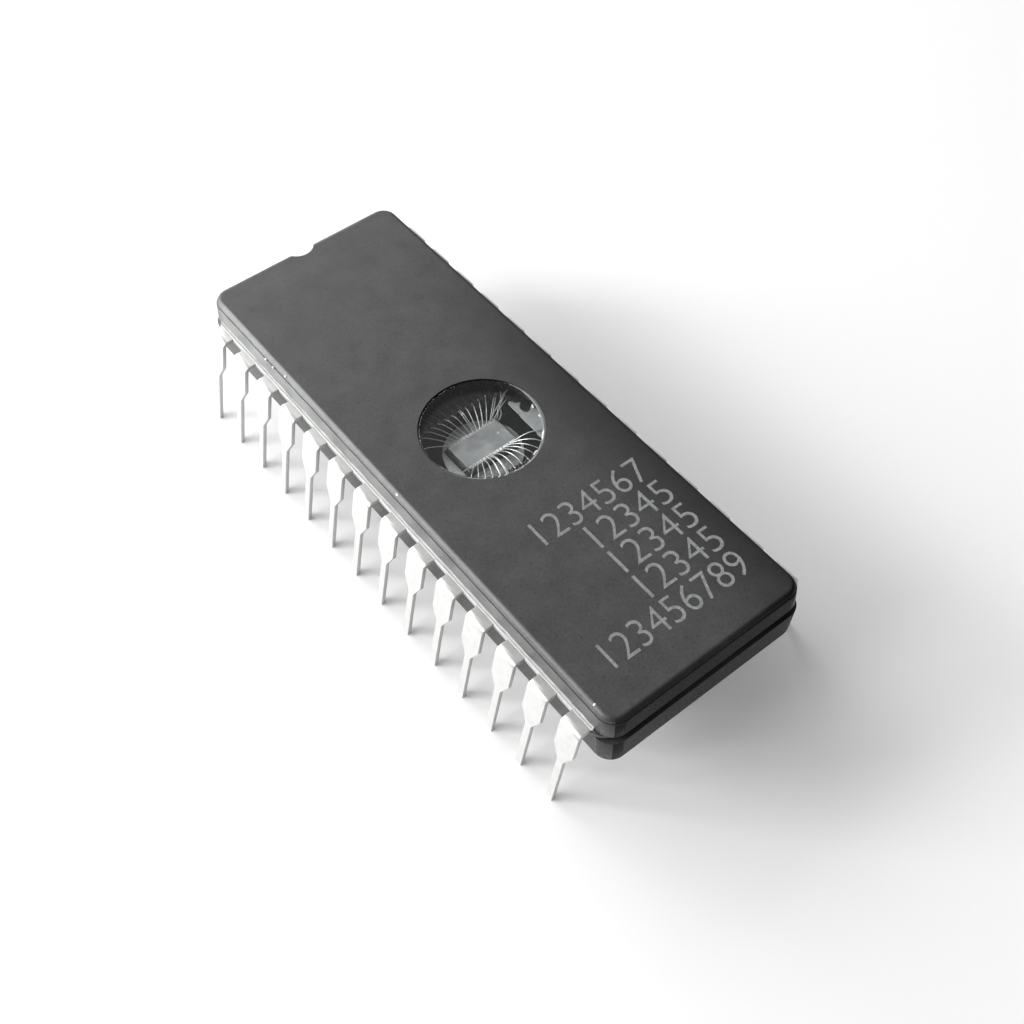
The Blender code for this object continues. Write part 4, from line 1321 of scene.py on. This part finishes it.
def bond_wedge(wires, place, heading):
    """Flattened end of a wire, where the bonding tool pressed it down."""
    height = wires.diameter * WEDGE_HIGH
    bpy.ops.mesh.primitive_cube_add(size=1.0,
                                    scale=(wires.foot, wires.diameter * WEDGE_WIDE, height))
    wedge = added("wedge")
    edit(wedge)
    pick(wedge, "FACE", looks_up)
    bpy.ops.transform.resize(value=WEDGE_TOP, center_override=(0.0, 0.0, height / 2))
    pick_all()
    bpy.ops.mesh.bevel(offset=wires.diameter * WEDGE_ROUND, segments=2, affect="EDGES")
    leave_edit()
    wedge.location = (place.x, place.y, place.z)
    wedge.rotation_euler = (0.0, 0.0, heading)
    return added("wedge")


class CHIP_OT_wires(bpy.types.Operator):
    """Draw each bond wire from its finger to its pad, with a pressed wedge at both ends."""

    bl_idname = "chip.wires"
    bl_label = "Bond wires"

    def execute(self, context):
        wires = context.scene.chip_wires
        metal = wire_material("bonding_aluminium", context.scene.chip_colours.wire)
        vary = Random(28)
        for number, rank, side_x, side_y in lead_places():
            for second in range(2 if number in DOUBLE_BONDED else 1):
                name = f"bond_wire_{number:02d}" + ("b" if second else "")
                points = wire_path(rank, side_x, side_y, second, context, vary)
                stout = STOUTER if number in STOUT_WIRES else 1.0
                wire = drawn_curve(name, points, wires.diameter * stout)
                way = points[-1] - points[0]
                heading = atan2(way.y, way.x)
                low = wires.diameter * 0.25
                for end, level in ((points[1], LEAD_TOP + low), (points[-2], DIE_HIGH.z + low)):
                    place = Vector((end.x, end.y, level))
                    wire = join(wire, bond_wedge(wires, place, heading))
                finish_surface(wire, 50.0)
                coat(wire, metal)
                ride(wire, "tinned_alloy", f"lead_{number:02d}")
        return {"FINISHED"}


class CHIP_OT_marking(bpy.types.Operator):
    """Print plain counting numbers in ink on the cap."""

    bl_idname = "chip.marking"
    bl_label = "Marking"

    def execute(self, context):
        ink = ink_material("stamped_epoxy_ink", context.scene.chip_colours.ink)
        for number, (digits, left, bottom) in enumerate(MARKING, 1):
            bpy.ops.object.text_add()
            text = context.object
            text.data.body = digits
            text.data.size = DIGIT_SIZE
            text.data.offset = -INK_THINNER
            text.data.extrude = INK_THICKNESS
            select_only(text)
            bpy.ops.object.convert(target="MESH")
            text.scale = ((MARKING_RIGHT - left) * MM / text.dimensions.x, 1.0, 1.0)
            text.location = (left * MM, bottom * MM, CAP_HIGH.z + 0.001 * MM)
            row = added(f"ink_row_{number}")
            coat(row, ink)
            ride(row, "dark_ceramic")
        return {"FINISHED"}


class CHIP_OT_stage(bpy.types.Operator):
    """Lay the white card, hang the lamps and set up the camera."""

    bl_idname = "chip.stage"
    bl_label = "Stage"

    def execute(self, context):
        scene = context.scene
        values = scene.chip_stage
        bpy.ops.mesh.primitive_plane_add(size=FLOOR_SIZE, location=(0.0, 0.0, 0.0))
        floor = added("floor_card")
        coat(floor, floor_material("white_card", values.floor))

        for name, settings in LAMPS.items():
            add_lamp(name, *settings)

        scene.world = bpy.data.worlds.new("room")
        light_room(scene.world)

        bpy.ops.object.camera_add(location=values.camera, rotation=values.turn)
        camera = context.object
        camera.name = "camera"
        camera.data.lens = values.focal
        camera.data.sensor_width = 36.0
        camera.data.clip_start = 0.5 * MM
        camera.data.clip_end = 20.0
        scene.camera = camera
        scene.view_settings.view_transform = "Standard"
        return {"FINISHED"}


def light_room(world):
    """Even light all round with one bright side. The camera sees plain white."""
    world.use_nodes = True
    tree = world.node_tree
    background = tree.nodes["Background"]
    direction = node(tree, "ShaderNodeTexCoord").outputs["Generated"]
    near_light = node(tree, "ShaderNodeVectorMath", {0: direction, 1: toward(*BRIGHT_SIDE)},
                      operation="DOT_PRODUCT")
    fall = node(tree, "ShaderNodeMath", {0: near_light, 1: 8.0, 2: -8.0},
                operation="MULTIPLY_ADD")
    patch = node(tree, "ShaderNodeMath", {0: fall}, operation="EXPONENT")
    level = node(tree, "ShaderNodeMath", {0: patch, 1: 0.6, 2: 0.2}, operation="MULTIPLY_ADD")
    seen = node(tree, "ShaderNodeLightPath").outputs["Is Camera Ray"]
    strength = node(tree, "ShaderNodeMix", {0: seen, 2: level, 3: 1.0}, data_type="FLOAT")
    plug(background, {"Color": (1.0, 1.0, 1.0, 1.0), "Strength": strength})


def add_lamp(name, azimuth, elevation, size, power):
    """Square area lamp that faces the chip."""
    direction = toward(azimuth, elevation)
    bpy.ops.object.light_add(type="AREA", location=direction * LAMP_DISTANCE)
    lamp = bpy.context.object
    lamp.name = name
    lamp.rotation_euler = (-direction).to_track_quat("-Z", "Y").to_euler()
    lamp.data.size = size
    lamp.data.energy = power


OPERATORS = (CHIP_OT_stage, CHIP_OT_base, CHIP_OT_seal, CHIP_OT_leads, CHIP_OT_die,
             CHIP_OT_wires, CHIP_OT_cap, CHIP_OT_window, CHIP_OT_marking)


class CHIP_PT_pieces(bpy.types.Panel):
    """Buttons for every piece of the chip and for the stage."""

    bl_idname = "CHIP_PT_pieces"
    bl_label = "Memory chip"
    bl_space_type = "VIEW_3D"
    bl_region_type = "UI"
    bl_category = "Chip"

    def draw(self, context):
        for operator in OPERATORS:
            self.layout.operator(operator.bl_idname)
        for name, group in GROUPS.items():
            box = self.layout.box()
            box.label(text=group.__doc__)
            for key in group.__annotations__:
                box.prop(getattr(context.scene, name), key)


def register():
    """Register the property groups, operators and panel."""
    for name, group in GROUPS.items():
        bpy.utils.register_class(group)
        setattr(bpy.types.Scene, name, PointerProperty(type=group))
    for item in (*OPERATORS, CHIP_PT_pieces):
        bpy.utils.register_class(item)


def unregister():
    """Remove the panel, operators and property groups."""
    for item in (CHIP_PT_pieces, *reversed(OPERATORS)):
        bpy.utils.unregister_class(item)
    for name, group in reversed(GROUPS.items()):
        delattr(bpy.types.Scene, name)
        bpy.utils.unregister_class(group)


def main():
    """Register the operators and build every piece in order."""
    register()
    for operator in OPERATORS:
        area, name = operator.bl_idname.split(".")
        getattr(getattr(bpy.ops, area), name)()


if __name__ == "__main__":
    main()
